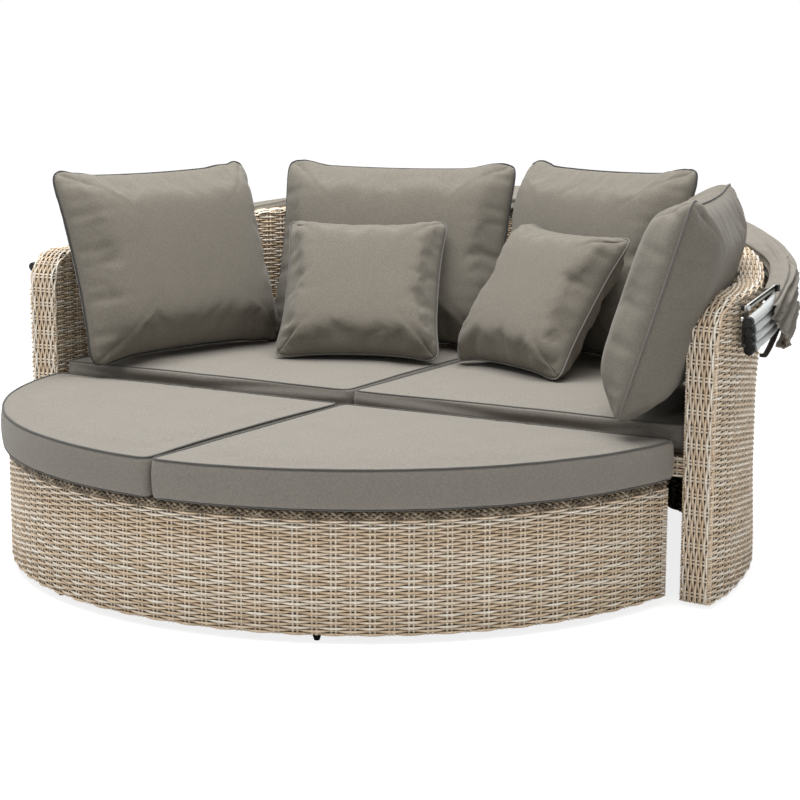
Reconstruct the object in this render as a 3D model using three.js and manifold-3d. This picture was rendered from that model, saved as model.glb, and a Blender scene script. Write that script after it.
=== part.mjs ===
// Round garden daybed: a woven wall curving round a seat, a half-moon ottoman that
// closes the circle, loose cushions, and a fan canopy folded back round the wall.
// Millimetres, +Z up. X runs across the daybed, -Y points out of its front.
import * as THREE from 'three';
import { mergeVertices } from 'three/addons/utils/BufferGeometryUtils.js';
import Module from 'manifold-3d';

const wasm = await Module();
wasm.setup();

const DEGREE = Math.PI / 180;

// Clearances
const SEAT_GAP = 0.3; // between pieces that rest on or butt against each other
const RUN_GAP = 0.3; // round a pin in its hole
const OVERRUN = 5; // how far a cutting tool passes the face that it cuts

// The woven wall
const WALL_OUTER_R = 1060;
const WALL_T = 85;
const WALL_INNER_R = WALL_OUTER_R - WALL_T;
const WALL_SKIN = 6;
const WALL_BOTTOM = 15;
const WALL_FRONT_Y = -115;
const RIM_LOW = 755;
const RIM_RISE = 77;
const RIM_CORNER_R = 95;
const RIM_EDGE_R = 12;
const RIM_RISE_START_SHARE = 0.25;
const RIM_RISE_END_SHARE = 0.72;
const PANEL_SPLIT = 45 * DEGREE;
const WALL_FACET = 4 * DEGREE;

// The bars welded into the wall, and the glides that it stands on
const WALL_BAR_R = 10;
const WALL_BAR_SIDES = 6;
const WALL_POSTS = 7;
const RAIL_CLEAR = 1.3; // between the top rail and the weave above it
const GLIDE_R = 15;
const GLIDE_TIP_R = 12;
const GLIDE_ANGLES = [8, 62, 118, 172];

// The seat
const SEAT_TOP = 450;
const SEAT_CUSHION_T = 73;
const SEAT_FRONT_Y = -78;
const DECK_T = 8;
const SEAT_BAR = 25;
const SEAT_FRAME_FRONT_Y = -62;
const SEAT_JOIST_X = 330;
const APRON_T = 38;
const APRON_H = 52;
const LEG_SIDE = 25;
const FOOT_H = 20;

// Loose cushions: size across the seams, and how far each face stands out at the middle. The
// back cushions fill the round of the wall, so their width is a share of its inner radius
const BACK_WIDTH_SHARE = 0.7108;
const BACK_CUSHION = { width: WALL_INNER_R * BACK_WIDTH_SHARE, height: 547, front: 100, back: 70 };
const PILLOW = { width: 472, height: 455, front: 78, back: 66 };
const SEAM_PULL_SHARE = 0.045;
const PAD_FULLNESS = 0.5;

// Where they stand: x and y as shares of the wall's inner radius, the way that each one faces
// (degrees from the front towards +X), how far it leans back, and its roll
const BACK_CUSHION_SHARES = [
  ['back_cushion_left', -0.8, 0.195, 76.4, 17.6, 0],
  ['back_cushion_centre', -0.334, 0.706, 14.6, 19.4, 0],
  ['back_cushion_right', 0.308, 0.771, -22.9, 15.9, 1],
  ['side_cushion_right', 0.85, 0.13, -72.9, 17.7, 0],
];
const PILLOW_SHARES = [
  ['throw_pillow_left', -0.274, 0.434, 23.6, 35, 0],
  ['throw_pillow_right', 0.293, 0.486, -24.7, 34.2, 0],
];

// The ottoman
const OTTOMAN_INSET = 30; // its radius is this much less than the wall's inner radius
const OTTOMAN_R = WALL_INNER_R - OTTOMAN_INSET;
const OTTOMAN_BACK_Y = 115;
const OTTOMAN_SKIN = 22;
const OTTOMAN_BOTTOM = 18;
const OTTOMAN_WALL_TOP = 290;
const BORDER_R = 12.5;
const BORDER_PROUD = 5;
const OTTOMAN_OVERHANG = 12;
const OTTOMAN_CUSHION_T = 104;
const OTTOMAN_CROWN = 7;
const OTTOMAN_BAR = 22;
const OTTOMAN_POST_R = 10;
const OTTOMAN_FRONT_POST_SHARES = { x: 0.4, y: 0.874 }; // of the radius
const OTTOMAN_BACK_POST_SHARE = 0.836; // its x, of the radius
const OTTOMAN_POST_IN = 35; // from the back wall to the middle of the back posts
const OTTOMAN_FOOT_TOP_R = 12;
const OTTOMAN_FOOT_TIP_R = 6.5;

// The folded canopy: bow 1 is the front bow, on top of the stack
const BOWS = 4;
const BOW_TILT = 9.5 * DEGREE;
const BOW_TUBE_R = 12;
const BOW_TUBE_SIDES = 8;
const BOW_PITCH = 28;
const BOW_SETBACK = 14.3;
const BOW_INSET = 6;
const BOW_STAND_OFF = 40; // from the wall to the front bow
const BOW_FRONT_GAP = 77.4; // from the front of the wall back to its pivot
const BOW_DROP = 54.7; // from the low rim down to its pivot
const TOP_PIVOT = { x: WALL_OUTER_R + BOW_STAND_OFF, y: WALL_FRONT_Y + BOW_FRONT_GAP, z: RIM_LOW - BOW_DROP };
const END_R = 13;
const END_BACK = 17; // how far the sleeve of an end fitting reaches along the tube
const END_SIDES = 12;
const END_DOME_ANGLES = [0, 30, 60];
const LUG_T = 4;
const LUG_R = 10;
const PIN_R = 4;
const PIN_HEAD_R = 7;
const PIN_HEAD_T = 4;
const BRACKET_T = 4;
const BRACKET_W = 60;
const BRACKET_UP = 89;
const BRACKET_DOWN = 27;
const DOME_R = 8;

// The gathered cloth
const CLOTH_START_ANGLE = 17.3 * DEGREE;
const CLOTH_OUT = 52;
const CLOTH_WAVE = 5;
const CLOTH_HANG = 150;
const CLOTH_LAYER = 10;
const CLOTH_FLAP = 46;

// The stay on the front bow, its screw, and the tie strap
const STAY_IN = 23; // from the front bow's pivot inwards
const STAY_BACK = 33.6; // from its pivot back to the free eye
const STAY_L = 183;
const STAY_LIFT = 21;
const STAY_W = 8;
const STAY_H = 13;
const STAY_PIN_R = 3;
const STAY_EYE_R = 7;
const KNOB_R = 6.5;
const KNOB_L = 8;
const NUT_R = 7;
const NUT_T = 5;
const STRAP_W = 24;
const STRAP_T = 2.4;

const finish = (color, roughness, metalness) =>
  new THREE.MeshStandardMaterial({ color, roughness, metalness });
const wicker = finish(0xc9b798, 0.75, 0);
const darkBar = finish(0x3a332c, 0.6, 0.4);
const fabric = finish(0x8d857a, 0.95, 0);
const paleFabric = finish(0xa39b8f, 0.95, 0);
const canopyCloth = finish(0x857d73, 0.9, 0);
const tube = finish(0xc4c6c6, 0.35, 0.9);
const black = finish(0x17171a, 0.5, 0.05);
const steel = finish(0xb9bbbe, 0.3, 1);
const webbing = finish(0x2e2622, 0.85, 0);

const daybed = new THREE.Group();

function place(name, geometry, material) {
  const mesh = new THREE.Mesh(geometry, material);
  mesh.name = name;
  daybed.add(mesh);
  return mesh;
}

// Solids: a merged, closed geometry in and out of a boolean
function toSolid(geometry) {
  const bare = geometry.clone();
  bare.deleteAttribute('normal');
  bare.deleteAttribute('uv');
  const merged = mergeVertices(bare, 1e-4);
  return new wasm.Manifold(
    new wasm.Mesh({
      numProp: 3,
      vertProperties: new Float32Array(merged.attributes.position.array),
      triVerts: new Uint32Array(merged.index.array),
    })
  );
}

function toGeometry(solid) {
  const mesh = solid.getMesh();
  const geometry = new THREE.BufferGeometry();
  geometry.setAttribute('position', new THREE.BufferAttribute(mesh.vertProperties, 3));
  geometry.setIndex(new THREE.BufferAttribute(mesh.triVerts, 1));
  geometry.computeVertexNormals();
  return geometry;
}

const join = (...parts) => toGeometry(parts.map(toSolid).reduce((a, b) => a.add(b)));
const cut = (body, ...tools) =>
  toGeometry(tools.map(toSolid).reduce((rest, tool) => rest.subtract(tool), toSolid(body)));

// A box between two corners
function block(x0, x1, y0, y1, z0, z1) {
  const box = new THREE.BoxGeometry(x1 - x0, y1 - y0, z1 - z0);
  return box.translate((x0 + x1) / 2, (y0 + y1) / 2, (z0 + z1) / 2);
}

// A round bar, or a tapered one, between two points
function bar(from, to, radius, sides = 16, endRadius = radius) {
  const axis = new THREE.Vector3().subVectors(to, from);
  const rod = new THREE.CylinderGeometry(endRadius, radius, axis.length(), sides);
  rod.applyQuaternion(
    new THREE.Quaternion().setFromUnitVectors(new THREE.Vector3(0, 1, 0), axis.clone().normalize())
  );
  const middle = new THREE.Vector3().addVectors(from, to).multiplyScalar(0.5);
  return rod.translate(middle.x, middle.y, middle.z);
}

// A mirror image across the YZ plane, with its faces turned to point out again
function mirrored(geometry) {
  const flat = geometry.index ? geometry.toNonIndexed() : geometry.clone();
  flat.scale(-1, 1, 1);
  const p = flat.attributes.position;
  const a = new THREE.Vector3();
  const b = new THREE.Vector3();
  for (let i = 0; i < p.count; i += 3) {
    a.fromBufferAttribute(p, i + 1);
    b.fromBufferAttribute(p, i + 2);
    p.setXYZ(i + 1, b.x, b.y, b.z);
    p.setXYZ(i + 2, a.x, a.y, a.z);
  }
  flat.computeVertexNormals();
  return flat;
}

// A solid through a row of like outlines, closed by flat ends
function loft(rings, ends) {
  const size = rings[0].length;
  const points = rings.flat();
  const faces = [];
  for (let i = 0; i + 1 < rings.length; i++)
    for (let j = 0; j < size; j++) {
      const a = i * size + j;
      const b = i * size + ((j + 1) % size);
      faces.push(a, b, b + size, a, b + size, a + size);
    }
  const last = (rings.length - 1) * size;
  for (const [a, b, c] of THREE.ShapeUtils.triangulateShape(ends[0], []))
    faces.push(a, c, b);
  for (const [a, b, c] of THREE.ShapeUtils.triangulateShape(ends[1], []))
    faces.push(last + a, last + b, last + c);
  return faced(points, faces);
}

// A closed geometry from points and faces, turned inside out if it needs it
function faced(points, faces) {
  let volume = 0;
  for (let i = 0; i < faces.length; i += 3) {
    const [a, b, c] = [points[faces[i]], points[faces[i + 1]], points[faces[i + 2]]];
    volume += a.dot(new THREE.Vector3().crossVectors(b, c));
  }
  const index = volume < 0 ? faces.slice().reverse() : faces;
  const geometry = new THREE.BufferGeometry().setFromPoints(points);
  geometry.setIndex(index);
  geometry.computeVertexNormals();
  return geometry;
}

const smooth = (t) => {
  const s = Math.min(Math.max(t, 0), 1);
  return s * s * (3 - 2 * s);
};

// The woven wall. Angles run from the +X side round the back to the -X side.
const WALL_MID_R = (WALL_INNER_R + WALL_OUTER_R) / 2;
const WALL_FRONT_ANGLE = Math.asin(WALL_FRONT_Y / WALL_MID_R);
const WALL_FIT_R = WALL_INNER_R * Math.cos(WALL_FACET / 2) - SEAT_GAP; // what fits inside its facets

function rimHeight(angle) {
  const rise = (Math.sin(angle) - RIM_RISE_START_SHARE) / (RIM_RISE_END_SHARE - RIM_RISE_START_SHARE);
  const level = RIM_LOW + RIM_RISE * smooth(rise);
  const fromFront = (Math.min(angle, Math.PI - angle) - WALL_FRONT_ANGLE) * WALL_MID_R;
  const short = Math.max(RIM_CORNER_R - fromFront, 0);
  return level - RIM_CORNER_R + Math.sqrt(RIM_CORNER_R ** 2 - Math.min(short, RIM_CORNER_R) ** 2);
}

// A sector of the wall's outline, drawn in by inset on its sides and its top
function wallSector(from, to, inset, bottom) {
  const inner = WALL_INNER_R + inset;
  const outer = WALL_OUTER_R - inset;
  const edge = RIM_EDGE_R;
  const corner = RIM_CORNER_R / WALL_MID_R;
  const angles = [];
  for (let a = from; a < to - DEGREE / 2; a += a < WALL_FRONT_ANGLE + corner ? WALL_FACET / 4 : WALL_FACET)
    angles.push(a);
  angles.push(to);
  const outline = (a) => {
    const top = rimHeight(a) - inset;
    return [
      [inner, bottom],
      [outer, bottom],
      [outer, top - edge],
      [outer - edge / 3, top - edge / 3],
      [outer - edge, top],
      [inner + edge, top],
      [inner + edge / 3, top - edge / 3],
      [inner, top - edge],
    ];
  };
  const rings = angles.map((a) =>
    outline(a).map(([r, z]) => new THREE.Vector3(r * Math.cos(a), r * Math.sin(a), z))
  );
  const end = (a) => outline(a).map(([r, z]) => new THREE.Vector2(r, z));
  return loft(rings, [end(from), end(to)]);
}

function makeWall() {
  const seam = SEAT_GAP / 2 / WALL_MID_R;
  const skin = WALL_SKIN / WALL_MID_R;
  const overrun = OVERRUN / WALL_MID_R;
  const open = WALL_BOTTOM - OVERRUN;
  const arm = cut(
    wallSector(WALL_FRONT_ANGLE, PANEL_SPLIT - seam, 0, WALL_BOTTOM),
    wallSector(WALL_FRONT_ANGLE + skin, PANEL_SPLIT + overrun, WALL_SKIN, open)
  );
  const back = cut(
    wallSector(PANEL_SPLIT + seam, Math.PI - PANEL_SPLIT - seam, 0, WALL_BOTTOM),
    wallSector(PANEL_SPLIT - overrun, Math.PI - PANEL_SPLIT + overrun, WALL_SKIN, open)
  );
  place('wicker_arm_right', arm, wicker);
  place('wicker_arm_left', mirrored(arm), wicker);
  place('wicker_back', back, wicker);
}

// A path at one radius round the wall, at a height that may follow the rim
class WallPath extends THREE.Curve {
  constructor(radius, from, to, height) {
    super();
    Object.assign(this, { radius, from, to, height });
  }
  getPoint(t, target = new THREE.Vector3()) {
    const a = this.from + (this.to - this.from) * t;
    return target.set(this.radius * Math.cos(a), this.radius * Math.sin(a), this.height(a));
  }
}

function roundSection(radius, sides) {
  const shape = new THREE.Shape();
  for (let i = 0; i < sides; i++) {
    const a = (2 * Math.PI * (i + 0.5)) / sides;
    if (i) shape.lineTo(radius * Math.cos(a), radius * Math.sin(a));
    else shape.moveTo(radius * Math.cos(a), radius * Math.sin(a));
  }
  shape.closePath();
  return shape;
}

const sweep = (shape, path, steps) =>
  new THREE.ExtrudeGeometry(shape, { steps, extrudePath: path, bevelEnabled: false });

// One welded frame inside the wall: a rail at the floor, one under the rim, and posts
const BASE_RAIL_Z = FOOT_H + SEAT_GAP + WALL_BAR_R * Math.cos(Math.PI / WALL_BAR_SIDES);

function makeWallFrame() {
  const start = WALL_FRONT_ANGLE + (WALL_SKIN + 2 * WALL_BAR_R) / WALL_MID_R;
  const stop = Math.PI - start;
  const under = WALL_SKIN + RAIL_CLEAR + WALL_BAR_R;
  const topHeight = (a) => rimHeight(a) - under;
  const post = (a) => {
    const [x, y] = [WALL_MID_R * Math.cos(a), WALL_MID_R * Math.sin(a)];
    return bar(new THREE.Vector3(x, y, BASE_RAIL_Z), new THREE.Vector3(x, y, topHeight(a)), WALL_BAR_R, WALL_BAR_SIDES);
  };
  const inset = RIM_CORNER_R / WALL_MID_R;
  const posts = [];
  for (let i = 0; i < WALL_POSTS; i++)
    posts.push(post(start + inset + ((stop - start - 2 * inset) * i) / (WALL_POSTS - 1)));
  const section = roundSection(WALL_BAR_R, WALL_BAR_SIDES);
  const base = sweep(section, new WallPath(WALL_MID_R, start, stop, () => BASE_RAIL_Z), 32);
  const top = sweep(section, new WallPath(WALL_MID_R, start + inset / 2, stop - inset / 2, topHeight), 32);
  place('wall_frame', join(base, top, ...posts), darkBar);
}

// A foot turned on a vertical axis, tapering to its tip on the floor
function foot(x, y, topR, tipR, height) {
  const tip = new THREE.Vector3(x, y, 0);
  return bar(tip, new THREE.Vector3(x, y, height), tipR, 12, topR);
}

function makeGlides() {
  GLIDE_ANGLES.forEach((degrees, i) => {
    const a = degrees * DEGREE;
    const glide = foot(WALL_MID_R * Math.cos(a), WALL_MID_R * Math.sin(a), GLIDE_R, GLIDE_TIP_R, FOOT_H);
    place(`wall_foot_${i + 1}`, glide, black);
  });
}

// A D-shaped outline: the part of a disc behind the line y = chord
function dShape(radius, chord) {
  const a = Math.asin(chord / radius);
  const shape = new THREE.Shape();
  shape.absarc(0, 0, radius, a, Math.PI - a, false);
  shape.closePath();
  return shape;
}

const slab = (shape, depth, bottom, curveSegments = 40) =>
  new THREE.ExtrudeGeometry(shape, { depth, bevelEnabled: false, curveSegments }).translate(0, 0, bottom);

// A D-shaped ring of square bar
function dRing(radius, chord, width, height, bottom) {
  const shape = dShape(radius, chord);
  shape.holes.push(dShape(radius - width, chord + width));
  return slab(shape, height, bottom, 32);
}

// The seat: a welded frame on two legs, a woven deck, a woven apron and two cushions
const SEAT_DECK_TOP = SEAT_TOP - SEAT_CUSHION_T - SEAT_GAP;
const SEAT_DECK_BOTTOM = SEAT_DECK_TOP - DECK_T;
const SEAT_FRAME_TOP = SEAT_DECK_BOTTOM - SEAT_GAP;
const SEAT_FRAME_BOTTOM = SEAT_FRAME_TOP - SEAT_BAR;

function makeSeatFrame() {
  const radius = WALL_FIT_R;
  const ring = dRing(radius, SEAT_FRAME_FRONT_Y, SEAT_BAR, SEAT_BAR, SEAT_FRAME_BOTTOM);
  const front = SEAT_FRAME_FRONT_Y + SEAT_BAR / 2;
  const rear = Math.sqrt((radius - SEAT_BAR / 2) ** 2 - SEAT_JOIST_X ** 2);
  const half = SEAT_BAR / 2;
  const joists = [-SEAT_JOIST_X, SEAT_JOIST_X].map((x) =>
    block(x - half, x + half, front, rear - half, SEAT_FRAME_BOTTOM, SEAT_FRAME_TOP)
  );
  place('seat_frame', join(ring, ...joists), darkBar);
  const middle = SEAT_FRAME_FRONT_Y + SEAT_BAR / 2;
  for (const [side, sign] of [['left', -1], ['right', 1]]) {
    const x = sign * SEAT_JOIST_X;
    const reach = LEG_SIDE / 2;
    const leg = block(
      x - reach, x + reach, middle - reach, middle + reach,
      FOOT_H + SEAT_GAP, SEAT_FRAME_BOTTOM - SEAT_GAP
    );
    place(`seat_leg_${side}`, leg, darkBar);
    place(`seat_foot_${side}`, foot(x, middle, LEG_SIDE / 2, GLIDE_TIP_R, FOOT_H), black);
  }
}

function makeSeatPanels() {
  const deck = dShape(WALL_FIT_R, SEAT_FRAME_FRONT_Y);
  place('seat_deck', slab(deck, DECK_T, SEAT_DECK_BOTTOM), wicker);
  const back = SEAT_FRAME_FRONT_Y - SEAT_GAP;
  const front = back - APRON_T;
  const half = Math.sqrt(WALL_FIT_R ** 2 - front ** 2);
  const apron = block(-half, half, front, back, SEAT_FRAME_TOP - APRON_H, SEAT_FRAME_TOP);
  place('front_apron', apron, wicker);
}

// The plan of half a D-shaped cushion: x from the split to the rim, y behind the chord.
// Its straight sides are drawn in a little between the corners.
function halfCushionOutline(radius, chord, split, corner, pull, count) {
  const rimX = Math.sqrt(radius ** 2 - chord ** 2);
  const topY = Math.sqrt(radius ** 2 - split ** 2);
  const turn = corner / radius;
  const from = Math.asin(chord / radius) + turn;
  const to = Math.PI / 2 - Math.asin(split / radius) - turn;
  const shape = new THREE.Shape();
  shape.moveTo(split, chord + corner);
  shape.quadraticCurveTo(split, chord, split + corner, chord);
  shape.quadraticCurveTo((split + rimX) / 2, chord + 2 * pull, rimX - corner, chord);
  shape.quadraticCurveTo(rimX, chord, radius * Math.cos(from), radius * Math.sin(from));
  shape.absarc(0, 0, radius, from, to, false);
  shape.quadraticCurveTo(split, topY, split, topY - corner);
  shape.quadraticCurveTo(split + 2 * pull, (chord + topY) / 2, split, chord + corner);
  return shape.getSpacedPoints(count).slice(0, count);
}

// A padded slab over a plan: rounded edges, sides that bulge, and a crown on top. Each level
// is a share of the plan at a share of the height and a share of the crown above it.
const SLAB_LEVEL_SHARES = [
  [0.965, 0, 0], [0.995, 0.12, 0], [1.004, 0.5, 0], [0.995, 0.88, 0], [0.965, 1, 0],
  [0.7, 1, 0.75], [0.35, 1, 1],
];

function paddedSlab(plan, bottom, height, crown) {
  const middle = plan.reduce((sum, p) => sum.add(p), new THREE.Vector2()).divideScalar(plan.length);
  const shrunk = (share) => plan.map((p) => p.clone().sub(middle).multiplyScalar(share).add(middle));
  const rings = SLAB_LEVEL_SHARES.map(([share, riseShare, crownShare]) =>
    shrunk(share).map((p) => new THREE.Vector3(p.x, p.y, bottom + height * riseShare + crown * crownShare))
  );
  return loft(rings, [shrunk(SLAB_LEVEL_SHARES[0][0]), shrunk(SLAB_LEVEL_SHARES.at(-1)[0])]);
}

const CUSHION_CORNER_R = 38;
const CUSHION_SPLIT = 4;
const CUSHION_PULL = 4;
const CUSHION_POINTS = 40;
const WALL_CLEAR = 9; // between a seat cushion and the wall

function makeSeatCushions() {
  const plan = halfCushionOutline(
    WALL_INNER_R - WALL_CLEAR, SEAT_FRONT_Y, CUSHION_SPLIT, CUSHION_CORNER_R, CUSHION_PULL, CUSHION_POINTS
  );
  const cushion = paddedSlab(plan, SEAT_DECK_TOP + SEAT_GAP, SEAT_CUSHION_T, 0);
  place('seat_cushion_right', cushion, paleFabric);
  place('seat_cushion_left', mirrored(cushion), paleFabric);
}

// A knife-edged pad: two crowned faces that meet in a seam drawn in between its corners.
// Rows lie closer together near the seam.
function pad({ width, height, front, back }) {
  const [columns, rows] = [12, 10];
  const spread = (i, n) => Math.sin((Math.PI / 2) * ((2 * i) / n - 1));
  const points = [];
  const faces = [];
  for (const depth of [front, -back])
    for (let j = 0; j <= rows; j++)
      for (let i = 0; i <= columns; i++) {
        const [u, v] = [spread(i, columns), spread(j, rows)];
        const edge = i === 0 || j === 0 || i === columns || j === rows;
        const full = edge ? 0 : ((1 - u ** 4) * (1 - v ** 4)) ** PAD_FULLNESS;
        points.push(new THREE.Vector3(
          (width / 2) * u * (1 - SEAM_PULL_SHARE * (1 - v * v)),
          (height / 2) * v * (1 - SEAM_PULL_SHARE * (1 - u * u)),
          depth * full
        ));
      }
  const across = columns + 1;
  const behind = points.length / 2;
  for (let j = 0; j < rows; j++)
    for (let i = 0; i < columns; i++) {
      const a = j * across + i;
      const [b, c, d] = [a + 1, a + across + 1, a + across];
      faces.push(a, b, c, a, c, d);
      faces.push(behind + a, behind + c, behind + b, behind + a, behind + d, behind + c);
    }
  const geometry = faced(points, faces);
  geometry.deleteAttribute('normal');
  const merged = mergeVertices(geometry, 1e-4);
  merged.computeVertexNormals();
  return merged;
}

// Stands a pad on the seat: facing turns it from the front towards +X, lean tips it back
function standPad(size, [name, xShare, yShare, facing, lean, roll]) {
  const geometry = pad(size);
  const [f, l] = [facing * DEGREE, lean * DEGREE];
  const across = new THREE.Vector3(Math.cos(f), Math.sin(f), 0);
  const out = new THREE.Vector3(Math.sin(f) * Math.cos(l), -Math.cos(f) * Math.cos(l), Math.sin(l));
  const up = new THREE.Vector3().crossVectors(out, across);
  geometry.rotateZ(roll * DEGREE);
  geometry.applyMatrix4(new THREE.Matrix4().makeBasis(across, up, out));
  geometry.computeBoundingBox();
  const mesh = place(name, geometry, fabric);
  const z = SEAT_TOP + SEAT_GAP - geometry.boundingBox.min.z;
  mesh.position.set(WALL_INNER_R * xShare, WALL_INNER_R * yShare, z);
}

function makeLooseCushions() {
  for (const row of BACK_CUSHION_SHARES) standPad(BACK_CUSHION, row);
  for (const row of PILLOW_SHARES) standPad(PILLOW, row);
}

// The ottoman is drawn like the seat and turned half round, so that its arc faces the front
const turned = (geometry) => geometry.rotateZ(Math.PI);
const OTTOMAN_CUSHION_R = OTTOMAN_R + OTTOMAN_OVERHANG;
const OTTOMAN_CUSHION_BOTTOM = OTTOMAN_WALL_TOP + 2 * BORDER_R + 2 * SEAT_GAP;
const OTTOMAN_FRAME_TOP = OTTOMAN_CUSHION_BOTTOM - DECK_T - 2 * SEAT_GAP;
const OTTOMAN_POSTS = [
  [OTTOMAN_R * OTTOMAN_FRONT_POST_SHARES.x, OTTOMAN_R * OTTOMAN_FRONT_POST_SHARES.y],
  [OTTOMAN_R * OTTOMAN_BACK_POST_SHARE, OTTOMAN_BACK_Y + OTTOMAN_SKIN + OTTOMAN_POST_IN],
];

function makeOttomanWalls() {
  const a = Math.asin(OTTOMAN_BACK_Y / OTTOMAN_R);
  const inner = OTTOMAN_R - OTTOMAN_SKIN;
  const band = new THREE.Shape();
  band.absarc(0, 0, OTTOMAN_R, a, Math.PI - a, false);
  band.absarc(0, 0, inner, Math.PI - Math.asin(OTTOMAN_BACK_Y / inner), Math.asin(OTTOMAN_BACK_Y / inner), true);
  band.closePath();
  const height = OTTOMAN_WALL_TOP - OTTOMAN_BOTTOM;
  place('ottoman_wicker_front', turned(slab(band, height, OTTOMAN_BOTTOM)), wicker);
  const far = OTTOMAN_BACK_Y + OTTOMAN_SKIN;
  const half = Math.sqrt((inner - SEAT_GAP) ** 2 - far ** 2);
  const back = block(-half, half, OTTOMAN_BACK_Y, far, OTTOMAN_BOTTOM, OTTOMAN_WALL_TOP);
  place('ottoman_wicker_back', turned(back), wicker);
}

function makeOttomanBorder() {
  const radius = OTTOMAN_R - BORDER_R + BORDER_PROUD;
  const z = OTTOMAN_WALL_TOP + SEAT_GAP + BORDER_R;
  const a = Math.asin(OTTOMAN_BACK_Y / radius);
  const path = new WallPath(radius, a, Math.PI - a, () => z);
  place('ottoman_border', turned(sweep(roundSection(BORDER_R, 7), path, 32)), wicker);
}

function makeOttomanFrame() {
  const radius = OTTOMAN_R - OTTOMAN_SKIN - SEAT_GAP;
  const chord = OTTOMAN_BACK_Y + OTTOMAN_SKIN + SEAT_GAP;
  const bottom = OTTOMAN_FRAME_TOP - OTTOMAN_BAR;
  const ring = dRing(radius, chord, OTTOMAN_BAR, OTTOMAN_BAR, bottom);
  const spots = OTTOMAN_POSTS.flatMap(([x, y]) => [[x, y], [-x, y]]);
  const seat = OTTOMAN_BOTTOM + SEAT_GAP;
  const posts = spots.map(([x, y]) =>
    bar(new THREE.Vector3(x, y, seat), new THREE.Vector3(x, y, bottom + OTTOMAN_BAR / 2), OTTOMAN_POST_R, 12)
  );
  const stretchers = OTTOMAN_POSTS.map(([x, y]) => {
    const half = OTTOMAN_POST_R;
    return block(-x, x, y - half, y + half, bottom, OTTOMAN_FRAME_TOP);
  });
  const ties = spots.map(([x, y]) => {
    const reach = Math.sqrt((radius - OTTOMAN_BAR / 2) ** 2 - y ** 2);
    return block(
      Math.min(x, Math.sign(x) * reach), Math.max(x, Math.sign(x) * reach),
      y - OTTOMAN_POST_R, y + OTTOMAN_POST_R, bottom, OTTOMAN_FRAME_TOP
    );
  });
  place('ottoman_frame', turned(join(ring, ...posts, ...stretchers, ...ties)), darkBar);
  spots.forEach(([x, y], i) => {
    const tip = foot(-x, -y, OTTOMAN_FOOT_TOP_R, OTTOMAN_FOOT_TIP_R, OTTOMAN_BOTTOM);
    place(`ottoman_foot_${i + 1}`, tip, black);
  });
}

function makeOttomanTop() {
  const radius = OTTOMAN_R - 2 * BORDER_R;
  const deck = dShape(radius, OTTOMAN_BACK_Y);
  const bottom = OTTOMAN_FRAME_TOP + SEAT_GAP;
  place('ottoman_deck', turned(slab(deck, DECK_T, bottom)), wicker);
  const plan = halfCushionOutline(
    OTTOMAN_CUSHION_R, OTTOMAN_BACK_Y, CUSHION_SPLIT, CUSHION_CORNER_R, CUSHION_PULL, CUSHION_POINTS
  );
  const cushion = paddedSlab(plan, OTTOMAN_CUSHION_BOTTOM, OTTOMAN_CUSHION_T, OTTOMAN_CROWN);
  place('ottoman_cushion_left', turned(cushion), paleFabric);
  place('ottoman_cushion_right', mirrored(cushion), paleFabric);
}

// The bows lie in parallel planes that rise towards the back. Each bow is a half circle
// seen from above; its centre sits where its end fitting stops.
const BOW_NORMAL = new THREE.Vector3(0, -Math.sin(BOW_TILT), Math.cos(BOW_TILT));
const BOW_TUBE_FLAT = BOW_TUBE_R * Math.cos(Math.PI / BOW_TUBE_SIDES); // out to its flats
const BOW_BACKWARD = new THREE.Vector3(0, Math.cos(BOW_TILT), Math.sin(BOW_TILT));

function bowPivot(k) {
  return new THREE.Vector3(TOP_PIVOT.x - BOW_INSET * (k - 1), TOP_PIVOT.y, TOP_PIVOT.z)
    .addScaledVector(BOW_NORMAL, -BOW_PITCH * (k - 1))
    .addScaledVector(BOW_BACKWARD, BOW_SETBACK * (k - 1));
}

// A point beside bow k: at an angle round it, out from its centre line and above its plane
function bowPoint(k, angle, out, above) {
  const pivot = bowPivot(k);
  const radius = pivot.x + out;
  const centreY = pivot.y + (END_BACK + SEAT_GAP) * Math.cos(BOW_TILT);
  const y = centreY + radius * Math.sin(angle);
  const z = pivot.z + (y - pivot.y) * Math.tan(BOW_TILT);
  return new THREE.Vector3(radius * Math.cos(angle), y, z).addScaledVector(BOW_NORMAL, above);
}

class BowPath extends THREE.Curve {
  constructor(k) {
    super();
    this.k = k;
  }
  getPoint(t, target = new THREE.Vector3()) {
    return target.copy(bowPoint(this.k, Math.PI * t, 0, 0));
  }
}

// A pin, eye or disc whose axis runs along X
const acrossX = (point, from, to, radius, sides = 12) =>
  bar(point.clone().setX(from), point.clone().setX(to), radius, sides);

// A round sleeve on the end of a tube, closed by a dome round its pivot
function makeCap(centre) {
  const circle = [];
  for (let i = 0; i < END_SIDES; i++) {
    const a = (2 * Math.PI * i) / END_SIDES;
    circle.push(new THREE.Vector2(Math.cos(a), Math.sin(a)));
  }
  const ring = (back, radius) =>
    circle.map((p) => centre.clone()
      .addScaledVector(BOW_BACKWARD, back)
      .addScaledVector(BOW_NORMAL, radius * p.y)
      .add(new THREE.Vector3(radius * p.x, 0, 0)));
  const dome = END_DOME_ANGLES.map((a) =>
    ring(-END_R * Math.sin(a * DEGREE), END_R * Math.cos(a * DEGREE))
  );
  return loft([ring(END_BACK, END_R), ...dome], [circle, circle]);
}

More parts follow.
